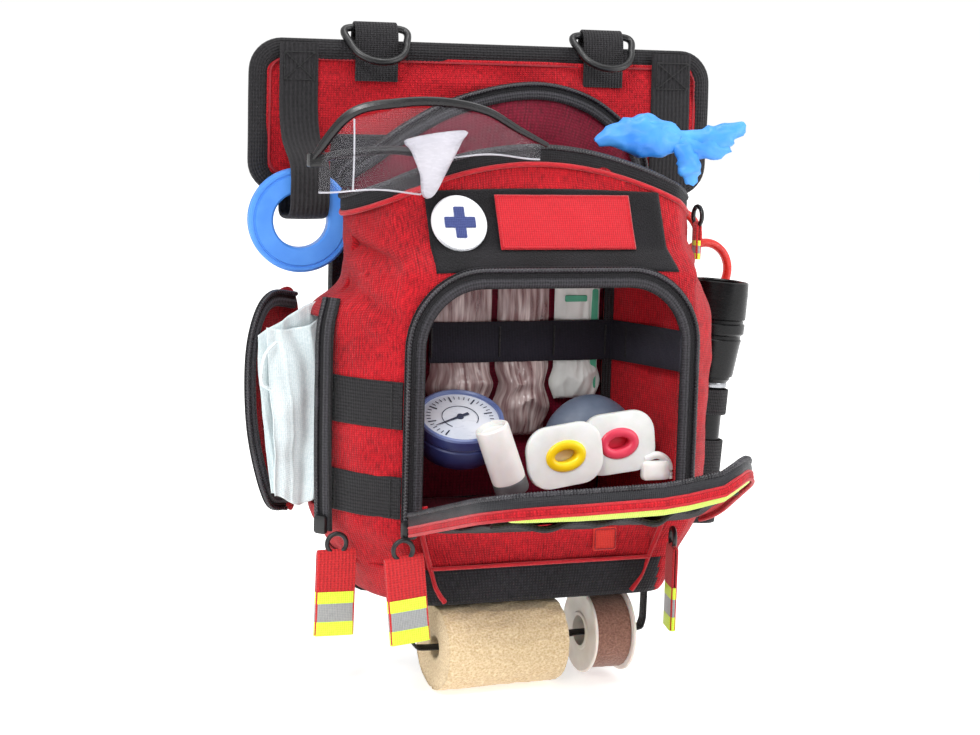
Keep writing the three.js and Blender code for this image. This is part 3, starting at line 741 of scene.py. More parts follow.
def base_cover():
    def around(u, v):
        s = u * GIRTH
        z = v * 24 - 3
        x, y, _ = skin(s, np.maximum(z, 0))
        bulge = 2.2 + 1.2 * np.sin(np.pi * v) + 0.6 * lift(stack(x, y, z), 12, 1.0)
        x, y, _ = skin(s, np.maximum(z, 0), bulge)
        tuck = np.clip(-z / 3, 0, 1)
        return x * (1 - 0.02 * tuck), -84 + (y + 84) * (1 - 0.02 * tuck), z

    def under(u, v):
        x, y, _ = skin(u * GIRTH, 0, 2.2)
        share = 0.98 * (1 - v) ** 0.8
        sag = -3 - 1.2 * np.sin(np.pi * v)
        return x * share, -84 + (y + 84) * share, sag

    panel_left, panel_right = GIRTH / 2 - 88, GIRTH / 2 + 80

    def front_only(x, y, z):
        return y < -120 and -89 < x < 81

    def sides_only(x, y, z):
        return not front_only(x, y, z)

    shape = grid(around, 200, 10, GIRTH, 24, front_only) + grid(under, 200, 14, GIRTH, 90)
    piece("base_cover_skin", shape, BLACK, "pack", "base_cover", solid=1.2)
    piece("base_side_skin", grid(around, 200, 10, GIRTH, 24, sides_only), RED, "pack",
          solid=1.2)
    s = np.linspace(panel_left, panel_right, 120)
    path = stack(*skin(s, 22 + 0 * s, 3.4))
    cords = [sweep(path, round_section(1.3))]
    for s_edge, lean in ((panel_left, 6), (panel_right, -6)):
        z = np.linspace(54, -1, 40)
        s = s_edge + lean * np.clip((12 - z) / 14, 0, 1) ** 2
        off = 2.2 + 1.4 * np.clip((22 - z) / 20, 0, 1)
        cords.append(sweep(stack(*skin(s, z, off)), round_section(1.7), (0, -1, 0)))
    piece("front_panel_piping", joined(cords), PIPING_RED, "pack")


def liner():
    back_y, mouth_y = -70, BAG_FRONT + 3
    back_half, mouth_half = 65.5, 92.5
    low, high = 53, 204

    def wall(u, v):
        x = -back_half + 2 * back_half * u
        z = low + (high - low) * v
        points = stack(x, 0 * x, z)
        return x, back_y + 1.6 * np.sin(u * 26) * 0.35 + lift(points, 22, 1.8), z

    def side(sign):
        def place(u, v):
            x = sign * (back_half + (mouth_half - back_half) * u)
            y = back_y + (mouth_y - back_y) * u
            z = low + (high - low) * v
            points = stack(x, y, z)
            out = 3.2 * np.sin(np.pi * u) * np.sin(np.pi * v) + lift(points, 18, 2.0)
            return x + sign * out * 0.9, y + 0 * out, z
        return grid(place, 36, 60, 75, 150)

    def level(height, bow):
        def place(u, v):
            half = back_half + (mouth_half - back_half) * v
            x = (2 * u - 1) * half
            y = back_y + (mouth_y - back_y) * v
            points = stack(x, y, 0 * x)
            return x, y, height + bow * np.sin(np.pi * v) + lift(points, 22, 1.6)
        return grid(place, 60, 30, 170, 75)

    shape = grid(wall, 60, 60, 131, 150) + side(-1) + level(low, -1) + level(high, 2)
    piece("front_lining", shape, LINING, "pack", "front_liner", solid=0.8)
    piece("front_lining_right", side(1), DOOR_RED, "pack", solid=0.8)


def zip_run(name, path, normal, body, coil_side, tape=12.0, binding_side=None):
    """Tape, ribbed coil and a rolled binding along a path that lies on a surface."""
    path = np.array(path, float)
    tangent = np.gradient(path, axis=0)
    tangent /= np.linalg.norm(tangent, axis=1, keepdims=True) + 1e-9
    up = np.broadcast_to(np.array(normal, float), path.shape)
    up = up / np.linalg.norm(up, axis=1, keepdims=True)
    side = np.cross(tangent, up)
    tape_shape = sweep(path, flat_section(tape, 1.4, 0.4), up)
    made = [piece(name + "_tape", tape_shape, ZIP_TAPE, body)]
    line = resampled(path + side * coil_side + up * 1.5, 0.55)
    up_line = np.stack([np.interp(np.linspace(0, 1, len(line)), np.linspace(0, 1, len(up)), up[:, k])
                        for k in range(3)], axis=1)
    teeth = sweep(line, round_section(1.55, 8), up_line,
                  scale=beads(0.72, 0.34, math.pi / 2.2))
    made.append(piece(name + "_coil", teeth, COIL, body, sharp=60))
    if binding_side is not None:
        rolled = sweep(path + side * binding_side + up * 0.4, flat_section(6.5, 2.8, 0.5), up)
        made.append(piece(name + "_binding", rolled, GREY_BINDING, body))
    return made


def front_zip():
    half, top = OPENING["half"] + 7, OPENING["top"] + 7
    line = arch(half, 50, top, OPENING["radius"] + 7)
    path = resampled([(x, BAG_FRONT - 1.6, z) for x, z in line], 2.0)
    tape, *_ = zip_run("front_zip", path, (0, -1, 0), "pack", -4.8, 14, 3.2)
    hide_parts("frame_zip")
    slider = slab(rounded(5.4, 6.2, 2.6, -97.5, 49.5), 3.6, puff=0.6).moved(at(0, BAG_FRONT - 4.6, 0))
    bridge = sweep(curve([(-97.5, BAG_FRONT - 6, 53.5), (-97.5, BAG_FRONT - 9, 51),
                          (-97.5, BAG_FRONT - 9, 47),
                          (-97.5, BAG_FRONT - 6, 45)], 0.8), flat_section(3.4, 1.2))
    piece("front_zip_slider", slider + bridge, RING, "pack")


def elastic():
    path = curve([(-62, -77.8, 158), (0, -78.4, 158), (64, -77.8, 158), (69, -81, 158), (77.5, -106, 158),
                  (86, -136, 158), (88, -145, 158)], 1.6)
    across = np.tile([0.0, 0.0, 1.0], (len(path), 1))
    tangent = np.gradient(path, axis=0)
    normal = np.cross(tangent, across)
    bow = np.zeros(len(path))
    for x0, x1, rise in ((-60, -14, 1.6), (-12, 25, 1.6), (27, 62, 1.4)):
        inside = (path[:, 0] > x0) & (path[:, 0] < x1) & (path[:, 1] > -80)
        t = np.clip((path[:, 0] - x0) / (x1 - x0), 0, 1)
        bow = np.where(inside, rise * np.sin(np.pi * t), bow)
    path[:, 1] -= bow
    band = sweep(path, flat_section(27, 1.5, 0.2, 14), normal)
    piece("elastic_band_cloth", band, ELASTIC, "pack", "elastic_band")
    places = [(x, -79.4) for x in (-61, -13, 26, 63.5)]
    places += [(68 + 23 * share, -82.4 - 53 * share) for share in (0.2, 0.5, 0.8)]
    bars = []
    for x, y in places:
        line = resampled([(x, y, 148), (x, y, 168)], 1.2)
        bars.append(sweep(line, round_section(0.7, 6), (0, -1, 0), scale=beads(0.7, 0.5, math.pi / 2.4)))
    corner = slab(rounded(3.4, 48, 0.6, 66.2, 153), 1.0, puff=0.1).moved(at(0, -77.9, 0))
    piece("elastic_corner_strip", corner, WEBBING, "pack")
    piece("elastic_bar_tacks", joined(bars), THREAD, "pack")


def loop_field():
    middle = GIRTH / 2

    def place(u, v):
        s = middle - 84 + 172 * u
        z = 210 + 49 * v + 2 * np.sin(np.pi * u)
        edge = np.minimum(np.minimum(u, 1 - u) * 40, np.minimum(v, 1 - v) * 12)
        rise = 2.0 + 0.6 * np.clip(edge, 0, 1)
        return skin(s, z, rise)

    piece("loop_field_pile", grid(place, 90, 28, 172, 47), LOOP_PILE, "pack", "loop_field",
          solid=0.8)


def on_slope(shape, lean=24, y=-120.6, z=239):
    turn = turned(-lean, "X")
    return shape.moved(Matrix.Translation((0, y, z)) @ turn)


def patches():
    disc = lathe([(0.01, 2.6), (15.6, 2.5), (16.6, 2.9), (17.8, 2.7), (18.5, 1.6), (18.5, 0), (0.01, 0)], 72)
    face_front = turned(90, "X")
    where = Matrix.Translation((-60, -0.6, 0))
    piece("round_patch_cloth", on_slope(disc.moved(where @ face_front)), PATCH_WHITE, "pack",
          "round_patch")
    bars = [slab(rounded(3.6, 10.4, 0.8), 0.9 + 0.16 * k).moved(turned(90 * k, "Y"))
            for k in (0, 1)]
    cross = joined(bars).moved(Matrix.Translation((-60, -3.5, 0)))
    piece("round_patch_cross", on_slope(cross), PATCH_BLUE, "pack")

    def cloth(u, v):
        x = -34 + 94 * u
        z = -18 + 37 * v
        points = stack(x, 0 * x, z)
        hem = np.clip(np.minimum(np.minimum(u, 1 - u) * 94, np.minimum(v, 1 - v) * 37) / 1.6, 0, 1)
        return x, -1.9 - 0.5 * hem + lift(points, 16, 0.5), z

    piece("name_patch_cloth", on_slope(grid(cloth, 94, 36, 94, 37)), PATCH_RED, "pack",
          "name_patch",
          solid=1.0)
    edge = rounded(45.8, 17.3, 1.5, 13, 0.5)
    path = resampled([(x, -2.7, z) for x, z in edge + edge[:1]], 1.1)
    rope = sweep(path, round_section(0.75, 6), (0, -1, 0), scale=beads(0.8, 0.35, 2.2))
    piece("name_patch_edge", on_slope(rope), PATCH_RED, "pack")


def rim():
    s = np.linspace(0, GIRTH, 400)
    x, y, _ = skin(s, 268)
    s = s[y < -60]
    x, y, _ = skin(s, 268)
    top = rim_height(x)

    def along(drop, off):
        return stack(*skin(s, top + drop, off))

    up = skin_normal(s, top)
    tape = sweep(along(-3.2, 1.4), flat_section(10, 1.5, 0.3), up)
    piece("rim_zip_tape", tape, ZIP_TAPE, "pack", "rim_zip")
    line = resampled(along(1.2, 2.3), 0.55)
    teeth = sweep(line, round_section(1.6, 8), (0, 0, 1),
                  scale=beads(0.72, 0.34, math.pi / 2.2))
    piece("rim_zip_coil", teeth, COIL, "pack", sharp=60)
    piece("rim_piping", sweep(along(-9.4, 1.8), round_section(1.7), (0, 0, 1)), PIPING_RED, "pack")
    roll = sweep(along(-0.6, -1.2), flat_section(8, 2.6, 0.4), up)
    piece("rim_binding", roll, GREY_BINDING, "pack")


def main_lining():
    """Inside of the main compartment, seen over the rim: crimson walls, back and floor."""
    def walls(u, v):
        s = u * GIRTH
        x, y, _ = skin(s, 268)
        z = 226 + v * (np.where(y > -60, 251, rim_height(x)) - 228)
        return skin(s, z, -3.4 + lift(stack(x, y, z), 15, 1.2))

    def floor(u, v):
        x, y, _ = skin(u * GIRTH, 228, -4)
        share = 1 - v
        return x * share, -70 + (y + 70) * share, 228 + 0 * v

    def rear(u, v):
        x = -108 + 216 * u
        z = 226 + 30 * v
        return x, -26.5 + lift(stack(x, 0 * x, z), 14, 1.0), z

    shape = grid(walls, 160, 20, GIRTH, 50) + grid(floor, 100, 10, GIRTH, 60) + grid(rear, 60, 10, 216, 30)
    piece("main_lining", shape, LINING, "pack", solid=0.6)


# ---------- lid of the main compartment ----------
LID_EDGE = [(-111, 257), (-109, 266), (-90, 279), (-62, 298.5), (-32, 314), (6, 324.5), (38, 326.5),
            (68, 319),
            (92, 304), (107, 288), (113, 272), (111, 257)]


def lid():
    edge = curve([(x, -27, z) for x, z in LID_EDGE], 2.0)

    def face(depth, amount):
        def place(u, v):
            ex, _, ez = at_share(edge, u)
            base_x = -108 + 216 * u
            x = base_x + (ex - base_x) * v
            z = 256 + (ez - 256) * v
            points = stack(x, 0 * x, z)
            belly = 3.0 * np.sin(np.pi * v) * np.sin(np.pi * u)
            return x, depth - belly + lift(points, 26, amount), z
        return place

    outer = grid(face(-24.4, 0.8), 120, 36, 230, 70)
    piece("lid_cloth", outer, RED, "top_lid", "lid", solid=0.9)
    ribs = grid(face(-26.4, 2.4), 120, 36, 230, 70)
    piece("lid_lining", ribs, LINING, "top_lid", solid=0.6)
    inset = edge.copy()
    inset[:, 0] *= 0.97
    inset[:, 2] = 257 + (inset[:, 2] - 257) * 0.95
    inset[:, 1] = -28.6
    tape, *_ = zip_run("lid_zip", inset, (0, -1, 0.1), "top_lid", -3.6, 11, 3.4)
    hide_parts("lid_zip")


# ---------- door of the front compartment ----------
def door_place(x, out, depth):
    """x across, out from the hinge along the door, depth towards its outer face. It hangs a little twisted
    and narrows towards its free right corner."""
    x, out, depth = (np.asarray(a, float) for a in (x, out, depth))
    twist = np.interp(x, [-100, -52, 0, 52, 86, 100], [-0.5, -0.5, -1, -3, -7, -8]) * np.clip(out / 40, 0, 1)
    angle = np.radians(DOOR["open"] + twist)
    narrow = 29 * np.clip((x - 16) / 84, 0, 1) * np.clip((out - 40) / 110, 0, 1)
    y = DOOR["y"] - depth * np.cos(angle) - out * np.sin(angle)
    z = DOOR["z"] - depth * np.sin(angle) + out * np.cos(angle)
    return x - narrow, y, z


def door_edge(inset=0.0):
    """Outline of the door as (x, out), from the left of the hinge round to the right."""
    half, high, r = DOOR["half"] - inset, DOOR["height"] - inset, DOOR["radius"] - inset
    line = arch(half, 2, high, r)
    return resampled([(x, 0, out) for x, out in line], 2.0)[:, [0, 2]]


def door():
    def panel(depth, amount, crown):
        def place(u, v):
            out = 2 + (DOOR["height"] - 3) * v
            r = DOOR["radius"] - 1
            past = np.clip(out - (DOOR["height"] - 1 - r), 0, r)
            half = DOOR["half"] - 1 - r + np.sqrt(r * r - past * past)
            x = (2 * u - 1) * half
            points = stack(x, out, 0 * x)
            bow = crown * np.sin(np.pi * u) ** 0.5 * np.sin(np.pi * v) ** 0.5
            return door_place(x, out, depth + bow + lift(points, 28, amount))
        return place

    piece("door_cloth", grid(panel(4.6, 1.0, 1.5), 100, 76, 200, 157), DOOR_RED, "door",
          "front_door", solid=1.2)
    piece("door_lining", grid(panel(2.4, 1.2, -0.6), 100, 76, 200, 157), LINING, "door",
          solid=0.6)

    edge = door_edge()

    def wall(low, high, swell):
        def place(u, v):
            x, out = at_share(edge, u)
            points = stack(x, out, 9 * v)
            grow = 1 + (swell * np.sin(np.pi * v) + lift(points, 15, 0.5)) / 100
            return door_place(x * grow, 2 + (out - 2) * grow, low + (high - low) * v)
        return place

    length = float(np.linalg.norm(np.diff(edge, axis=0), axis=1).sum())
    piece("door_zip_tape", grid(wall(-4.4, 3.0, 0.5), 200, 8, length, 8), SATIN_TAPE, "door",
          "door_zip", solid=1.2)
    piece("door_gusset", grid(wall(3.0, 7.6, 1.0), 200, 6, length, 5), DOOR_RED, "door",
          solid=1.0)

    def wrap(u, v):
        """Reflective tape turned over the free edge of the door."""
        x, out = at_share(edge, 0.3 + 0.4 * u)
        return door_place(x, 2 + (out - 2) * (1.006 - 0.02 * v), 8.4 + 3.2 * v * np.sin(np.pi * u) ** 0.4)

    piece("door_reflective_wrap", grid(wrap, 120, 4, 0.4 * length, 3.2), DULL_NEON, "door",
          solid=0.6)
    rim_line = stack(*door_place(edge[:, 0], edge[:, 1], -5.0))
    deeper = stack(*door_place(edge[:, 0], edge[:, 1], -15.0))
    fine = resampled(rim_line, 0.45)
    marks, fine_marks = np.linspace(0, 1, len(rim_line)), np.linspace(0, 1, len(fine))
    up = np.stack([np.interp(fine_marks, marks, (deeper - rim_line)[:, k]) for k in range(3)], axis=1)
    teeth = sweep(fine, round_section(1.75, 8), up, scale=beads(0.66, 0.42, math.pi / 1.9))
    piece("door_zip_coil", teeth, COIL, "door", sharp=60)
    inner = stack(*door_place(edge[:, 0] * 0.975, edge[:, 1] * 0.98, -3.4))
    rolled = sweep(inner, flat_section(6.4, 2.2, 0.4), deeper - rim_line)
    piece("door_binding", rolled, GREY_BINDING, "door")
    for name, depth in (("door_piping_in", 3.0), ("door_piping_out", 7.8)):
        cord = stack(*door_place(edge[:, 0] * 1.006, edge[:, 1] * 1.005, depth))
        piece(name, sweep(cord, round_section(1.0)), PIPING_RED, "door")


def door_front():
    """Reflective strip and loose pocket on the outer face of the door."""
    def strip(low, high, depth, half):
        def place(u, v):
            x = (2 * u - 1) * half
            out = low + (high - low) * v - 3.0 * (2 * u - 1) ** 2
            points = stack(x, out, 0 * x)
            return door_place(x, out, depth + 1.6 * np.sin(np.pi * u) + lift(points, 22, 0.5))
        return place

    piece("door_reflective_edge", grid(strip(116, 146, 6.4, 88), 90, 10, 176, 30), NEON, "door",
          "door_reflective_strip", solid=0.8)
    piece("door_reflective_middle", grid(strip(124, 138, 7.4, 86), 90, 8, 172, 14), SILVER, "door",
          solid=0.5)

    def pocket(u, v):
        x = (2 * u - 1) * 88
        out = 12 + 98 * v
        waves = np.sin(u * 31 + 2 * v) * (1.6 * v ** 2) + np.sin(u * 13) * 1.2 * v
        points = stack(x, out, 0 * x)
        bag = 5.0 * np.sin(np.pi * u) ** 0.6 * (0.3 + 0.7 * v)
        return door_place(x, out, 7.0 + bag + waves + lift(points, 24, 2.0))

    piece("door_pocket_cloth", grid(pocket, 120, 60, 176, 98), BLACK, "door", "door_pocket",
          solid=1.0)
    u = np.linspace(0, 1, 160)
    hem = stack(*pocket(u, np.ones(160)))
    piece("door_pocket_hem", sweep(hem, round_section(2.0)), BINDING, "door")


# ---------- wing panel, straps and rings ----------
def rounded_loop(half_x, low, high, radius, y, step=2.5):
    middle, tall = (low + high) / 2, (high - low) / 2
    loop = rounded(half_x, tall, radius, 0, middle, 8)
    return resampled([(x, y, z) for x, z in loop + loop[:1]], step, closed=True)


def wing():
    path = rounded_loop(161, 258, 346, 15, -11.5)
    path[:, 1] += lift(path, 60, 3.0) + 2.0 * np.sin(path[:, 0] / 55)
    binding = sweep(path, flat_section(14, 5.4, 1.0, 10), (0, -1, 0), closed=True)
    piece("wing_binding_tape", binding, BINDING, "pack", "wing_binding")

    def panel(u, v):
        x = -156 + 312 * u
        z = 262 + 80 * v
        points = stack(x, 0 * x, z)
        flat = np.minimum(np.minimum(u, 1 - u) * 12, np.minimum(v, 1 - v) * 5)
        puff = 2.2 * np.clip(flat, 0, 1)
        folds = crease(x, z, (-128, 330), (-60, 336), 4, 1.4) + crease(x, z, (-52, 336), (40, 330), 5, 1.2)
        folds += crease(x, z, (36, 338), (110, 326), 5, 1.8) + crease(x, z, (-150, 300), (-146, 268), 4, 1.0)
        return x, -11.5 - puff - folds - lift(points, 36, 2.0) - 2.0 * np.sin(x / 55) * 0.6, z

    piece("wing_cloth", grid(panel, 150, 44, 312, 80), WING_RED, "pack", "wing_panel",
          solid=5.0)
    seam = rounded_loop(154.6, 264.4, 339.6, 10, -15.3, 1.4)
    piping = sweep(seam, round_section(0.9, 6), (0, -1, 0), closed=True,
                   scale=beads(0.6, 0.6, 1.1))
    piece("wing_stitching", piping, THREAD_RED, "pack")


def ring_loops():
    line = [(-17.4, 326), (-17.4, 340), (-17.2, 354), (-15.4, 361.5), (-11.5, 364.6), (-7.6, 361.5),
            (-6.2, 354),
            (-6.0, 340), (-6.0, 326)]
    for side, x in (("left", -82), ("right", 83)):
        path = curve([(x, y, z) for y, z in line], 1.6)
        strap = hung(path, flat_section(30, 1.9, 0.3, 12))
        name = "ring_loop_" + side
        piece(name + "_webbing", strap, WEBBING, "pack", name)
        corners = [(-19.3, 0), (19.3, 0), (19.3, -14)]
        corners += [(19.3 * math.cos(a), -12 - 17 * math.sin(a))
                    for a in np.radians(np.linspace(15, 165, 12))]
        corners += [(-19.3, -14)]
        loop = curve([(px, 0, pz) for px, pz in corners], 1.4, closed=True)
        wire = sweep(loop, round_section(2.5, 12), (0, 1, 0), closed=True)
        tilt = at(x, -11.5, 360.5, -42, "X")
        piece("d_ring_" + side + "_wire", wire.moved(tilt), RING, side + "_ring",
              "d_ring_" + side)


def box_stitch(x0, x1, z0, z1, y, radius=0.45):
    """Square of stitches with a cross in it, on a face that looks forward."""
    corners = [(x0, z0), (x1, z0), (x1, z1), (x0, z1), (x0, z0), (x1, z1)]
    lines = [resampled([(ax, y, az), (bx, y, bz)], 0.8) for (ax, az), (bx, bz) in zip(corners, corners[1:])]
    lines.append(resampled([(x0, y, z1), (x1, y, z0)], 0.8))
    return joined([sweep(line, round_section(radius, 6), (0, -1, 0),
                         scale=beads(0.35, 0.8, 1.15)) for line in lines])


def hook_straps():
    line = [(-17.6, 350), (-17.8, 326), (-18.5, 306), (-26, 287), (-46, 271), (-48.2, 252), (-47.2, 243),
            (-43, 238.4), (-32, 236.8), (-21.5, 238.8), (-19.6, 246), (-19.4, 264)]
    path = curve([(-135.75, y, z) for y, z in line], 1.8)
    strap = hung(path, flat_section(26.5, 2.2, 0.3, 12))
    piece("hook_strap_left_webbing", strap, STRAP_BLACK, "pack", "hook_strap_left")
    path = curve([(135, y, z) for y, z in ((-17.6, 350), (-18.4, 320), (-19.6, 290), (-18.8, 262),
                                           (-17.6, 236),
                                           (-16.8, 206))], 1.8)
    strap = sweep(path, flat_section(30, 2.2, 0.3, 12), (0, -1, 0))
    piece("hook_strap_right_webbing", strap, STRAP_BLACK, "pack", "hook_strap_right")
    stitches = box_stitch(-146, -125.5, 326, 344, -19.4) + box_stitch(123, 147, 326, 344, -20.4)
    piece("hook_strap_stitches", stitches, THREAD, "pack")


def tape_reel():
    outer, bore, half = 34, 18, 7
    face = [(bore, half - 1.2), (bore + 1.2, half), (outer - 4.6, half), (outer - 4.2, half - 0.9),
            (outer - 3.4, half - 0.9), (outer - 3.0, half - 0.2), (outer - 1.4, half - 0.2),
            (outer, half - 1.6)]
    profile = face + [(outer, 2.2), (outer - 0.7, 1.8), (outer - 0.7, -1.8), (outer, -2.2)]
    profile += [(r, -z) for r, z in reversed(face)] + [face[0]]
    place = at(-138, -33, 235, -10, "Z") @ \
        turned(90, "X")
    piece("tape_reel_body", lathe(profile, 96).moved(place), REEL_BLUE, "reel", "tape_reel",
          sharp=22)


# ---------- back of the pack ----------
def back():
    outline = [*arc(-78, 8, 28, 180, 270, 5), *arc(78, 8, 28, 270, 360, 5), (112, 160), (112, 290),
               (-112, 290),
               (-112, 160)]
    dense = firm_outline(outline, 6)
    panel = slab(dense, 7.4, 4).moved(at(0, -19.7, 0))
    piece("back_panel_foam", panel, BLACK, "pack", "back_panel")
    loop = resampled([(x * 0.995, -19.7, 135 + (z - 135) * 0.995) for x, z in outline + outline[:1]], 2.5,
                     closed=True)
    edge = sweep(loop, flat_section(9.5, 2.6, 0.4), loop * (1, 0, 1) - (0, 0, 135), closed=True)
    piece("back_panel_binding", edge, BINDING, "pack")

    def cushion(u, v):
        """Spine pad in four quilted blocks."""
        x = -38 + 76 * u
        z = 12 + 236 * v
        blocks = np.abs(np.sin(2.5 * np.pi * v)) ** 0.45
        across = np.clip(np.sin(np.pi * u), 0, 1) ** 0.35
        return x, -13 + 12.4 * across * (0.45 + 0.55 * blocks), z

    def base(u, v):
        return -38 + 76 * u, -15.2, 12 + 236 * v

    pad = grid(cushion, 40, 110, 76, 236) + grid(base, 4, 8, 76, 236)
    piece("spine_pad_quilted", pad, PAD_MESH, "pack", "spine_pad")
    for side, sign in (("left", -1), ("right", 1)):
        shape = [(46, 324), (84, 324), (100, 300), (102, 150), (94, 112), (70, 112), (62, 150), (46, 290)]
        dense = soft_outline([(sign * x, z) for x, z in shape], 4)
        strap = slab(dense, 5.6, 4, 0.8).moved(at(0, -4.4, 0))
        name = "shoulder_strap_" + side
        piece(name + "_pad", strap, PAD_MESH, "pack", name)
        tail = curve([(sign * x, y, z) for x, y, z in ((82, -6.6, 122), (84, -7.0, 80), (88, -6.4, 46),
                                                       (90, -6.6, 14))], 2)
        piece(name + "_tail", sweep(tail, flat_section(16, 1.7, 0.2), (0, -1, 0)), WEBBING, "pack")
        buckle = slab(rounded(11, 7, 2, sign * 82, 118), 4.4, puff=0.4).moved(at(0, -4.6, 0))
        piece(name + "_buckle", buckle, RING, "pack")


# ---------- left side ----------
def s_near(x, y):
    """Distance round the skin of the point nearest to a plan position."""
    line = resampled(np.column_stack([MIDDLE_ROW, np.zeros(len(MIDDLE_ROW))]), 0.5)
    marks = np.r_[0, np.cumsum(np.linalg.norm(np.diff(line, axis=0), axis=1))]
    return float(marks[np.argmin(np.hypot(line[:, 0] - x, line[:, 1] - y))])


def side_webbing():
    start, end = s_near(-139, -97), s_near(-102, -143)
    tacks = []
    for name, z, width in (("upper", 127, 30), ("lower", 68.5, 27)):
        s = np.linspace(start, end, 30)
        x, y, h = skin(s, z)
        off = skin_relief(x, y, h) * 0.6 + 1.9
        path = stack(*skin(s, z, off))
        strip = sweep(path, flat_section(width, 1.9, 0.3, 12), skin_normal(s, z + 0 * s))
        name = "side_webbing_" + name
        piece(name + "_strip", strip, WEBBING, "pack", name)
        for mark in (3, 26):
            px, py, _ = path[mark]
            nx, ny, _ = skin_normal(s, z + 0 * s)[mark]
            line = resampled([(px + nx * 1.3, py + ny * 1.3, z - width / 2 + 1.5),
                              (px + nx * 1.3, py + ny * 1.3, z + width / 2 - 1.5)], 1.0)
            tacks.append(sweep(line, round_section(0.6, 6), (nx, ny, 0),
                               scale=beads(0.5, 0.7, 1.2)))
    for z in (127, 68.5):
        line = resampled([(104, -136.2, z - 13), (104, -136.2, z + 13)], 1.0)
        tacks.append(sweep(line, round_section(0.5, 6), (1, -1, 0)))
    piece("side_webbing_tacks", joined(tacks), THREAD, "pack")


def side_pocket():
    path = curve([(-139, -99.5, 42), (-140, -98.5, 90), (-140, -97.5, 140), (-139, -95.5, 170),
                  (-134, -92, 190)], 2.2)
    tape, *_ = zip_run("pocket_zip", path, (-0.8, -0.6, 0), "pack", -3.4, 13, 3.6)
    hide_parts("pocket_zip")
    piping = path + (3.2, -5.6, 0)
    piece("pocket_piping", sweep(piping, round_section(1.4)), BINDING, "pack")
    slider = slab(rounded(4.6, 6.2, 2.2), 4.0, puff=0.5).moved(at(-141, -101.5, 46, -52))
    piece("pocket_slider", slider, RING, "pack")

    def inside(u, v):
        z = 46 + 136 * v
        y = -94 + 62 * u
        return -124 + 6 * np.sin(np.pi * u) + lift(stack(0 * u, y, z), 18, 1.5), y, z

    piece("side_pocket_lining", grid(inside, 24, 50, 62, 136), LINING, "pack", solid=0.8)

    hinge = Vector((COVER["x"], COVER["y"], 0))
    swing = Matrix.Translation(hinge) @ turned(-COVER["open"], "Z") @ \
        Matrix.Translation(-hinge)
    outline = [(-33, 52), (-33, 180), (-67, 186), (-84, 172), (-91, 144), (-86, 92), (-67, 56), (-47, 48)]
    dense = soft_outline(outline, 4)
    flat = slab(dense, 2.2, 6, 2.6)
    cover = flat.bent(lambda p: np.stack([COVER["x"] - 1.2 + p[:, 1], p[:, 0], p[:, 2]], axis=1))
    cover = cover.bent(lambda p: p + np.outer(lift(p, 26, 2.2), (1, 0, 0)))
    piece("pocket_cover_cloth", cover.moved(swing), RED, "side_cover", "pocket_cover", smooth=1)
    turn = np.array(swing)
    free = [(-40, 184), (-67, 186.5), (-83, 174), (-91, 146), (-87, 100), (-68, 56), (-47, 48)]
    edge = curve([(COVER["x"] + 1.0, y, z) for y, z in free], 2.0)
    edge = edge @ turn[:3, :3].T + turn[:3, 3]
    normal = turn[:3, :3] @ np.array([1.0, 0, 0])
    tape, *_ = zip_run("cover_zip", edge, normal, "side_cover", 3.0, 9, -3.4)
    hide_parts("cover_zip")


def face_mask():
    place = at(-149.5, -68, 56, 14, "Z")

    def layer(depth, seed):
        def cloth(u, v):
            z = (118 * v + 9 * (u - 0.5) * v - 6 * np.sin(3 * u + seed) * v ** 3
                 + 4 * (1 - v) ** 2 * np.cos(5 * u))
            waist = 1 - 0.32 * (1 - v) ** 1.6
            x = (-23 + 46 * u) * waist + 3 * np.sin(v * 3.1 + seed)
            pleats = (2.2 * np.abs(np.sin(u * 7 + 1.6 * v + seed)) + 1.2 * np.sin(u * 5 - 6 * v + seed)
                      + 0.7 * np.sin(u * 19 + 5 * v * v))
            points = stack(x, z, 0 * x + seed)
            return x, depth + pleats + lift(points, 20, 3.0, seed), z
        return grid(cloth, 60, 70, 46, 118)

    sheet = piece("face_mask_cloth", (layer(-3.2, 0.0) + layer(3.4, 2.0)).moved(place), MASK, "pack",
                  "face_mask", solid=0.5)
    loop = curve([(-17, -4, 104), (-27, -7, 96), (-29, -7, 80), (-22, -6, 74)], 1.5)
    string = piece("face_mask_loop", sweep(loop, round_section(1.1)).moved(place), MASK, "pack")


# ---------- zip pulls ----------
def zip_pull(name, body, place, width, length, yaw, tilt=0):
    x, y, z = place
    turn = at(x, y, z, yaw, "Z") @ \
        turned(tilt, "Y")
    ring = sweep(ellipse(6.4, 6.4, 40, z=-8), round_section(1.55), (0, 1, 0), closed=True)
    piece(name + "_ring", ring.moved(turn), RING, body, name)
    end = -13 - length
    fold = curve([(0, 1.0, end), (0, 1.2, -20), (0, 1.0, -14), (0, 0, -12.4), (0, -1.0, -14), (0, -1.2, -20),
                  (0, -1.0, end)], 1.2)
    tab = hung(fold, flat_section(width, 1.4, 0.2, 10))
    piece(name + "_tab", tab.moved(turn), RED_WEBBING, body)

    def band(top, bottom, thick, extra):
        line = [(0, 0, end + length * top), (0, 0, end + length * bottom)]
        return sweep(resampled(line, 2), flat_section(width + extra, thick, 0.2, 8), (0, -1, 0)).moved(turn)

    neon = band(0.52, 0.38, 4.2, 0.8) + band(0.16, -0.01, 4.2, 0.8)
    piece(name + "_neon", neon, NEON, body)
    piece(name + "_silver", band(0.38, 0.16, 4.0, 0.5), SILVER, body)


# ---------- right side: holder, torch and shears ----------
TORCH_PLACE = at(152, -50, 27, 4, "Y")


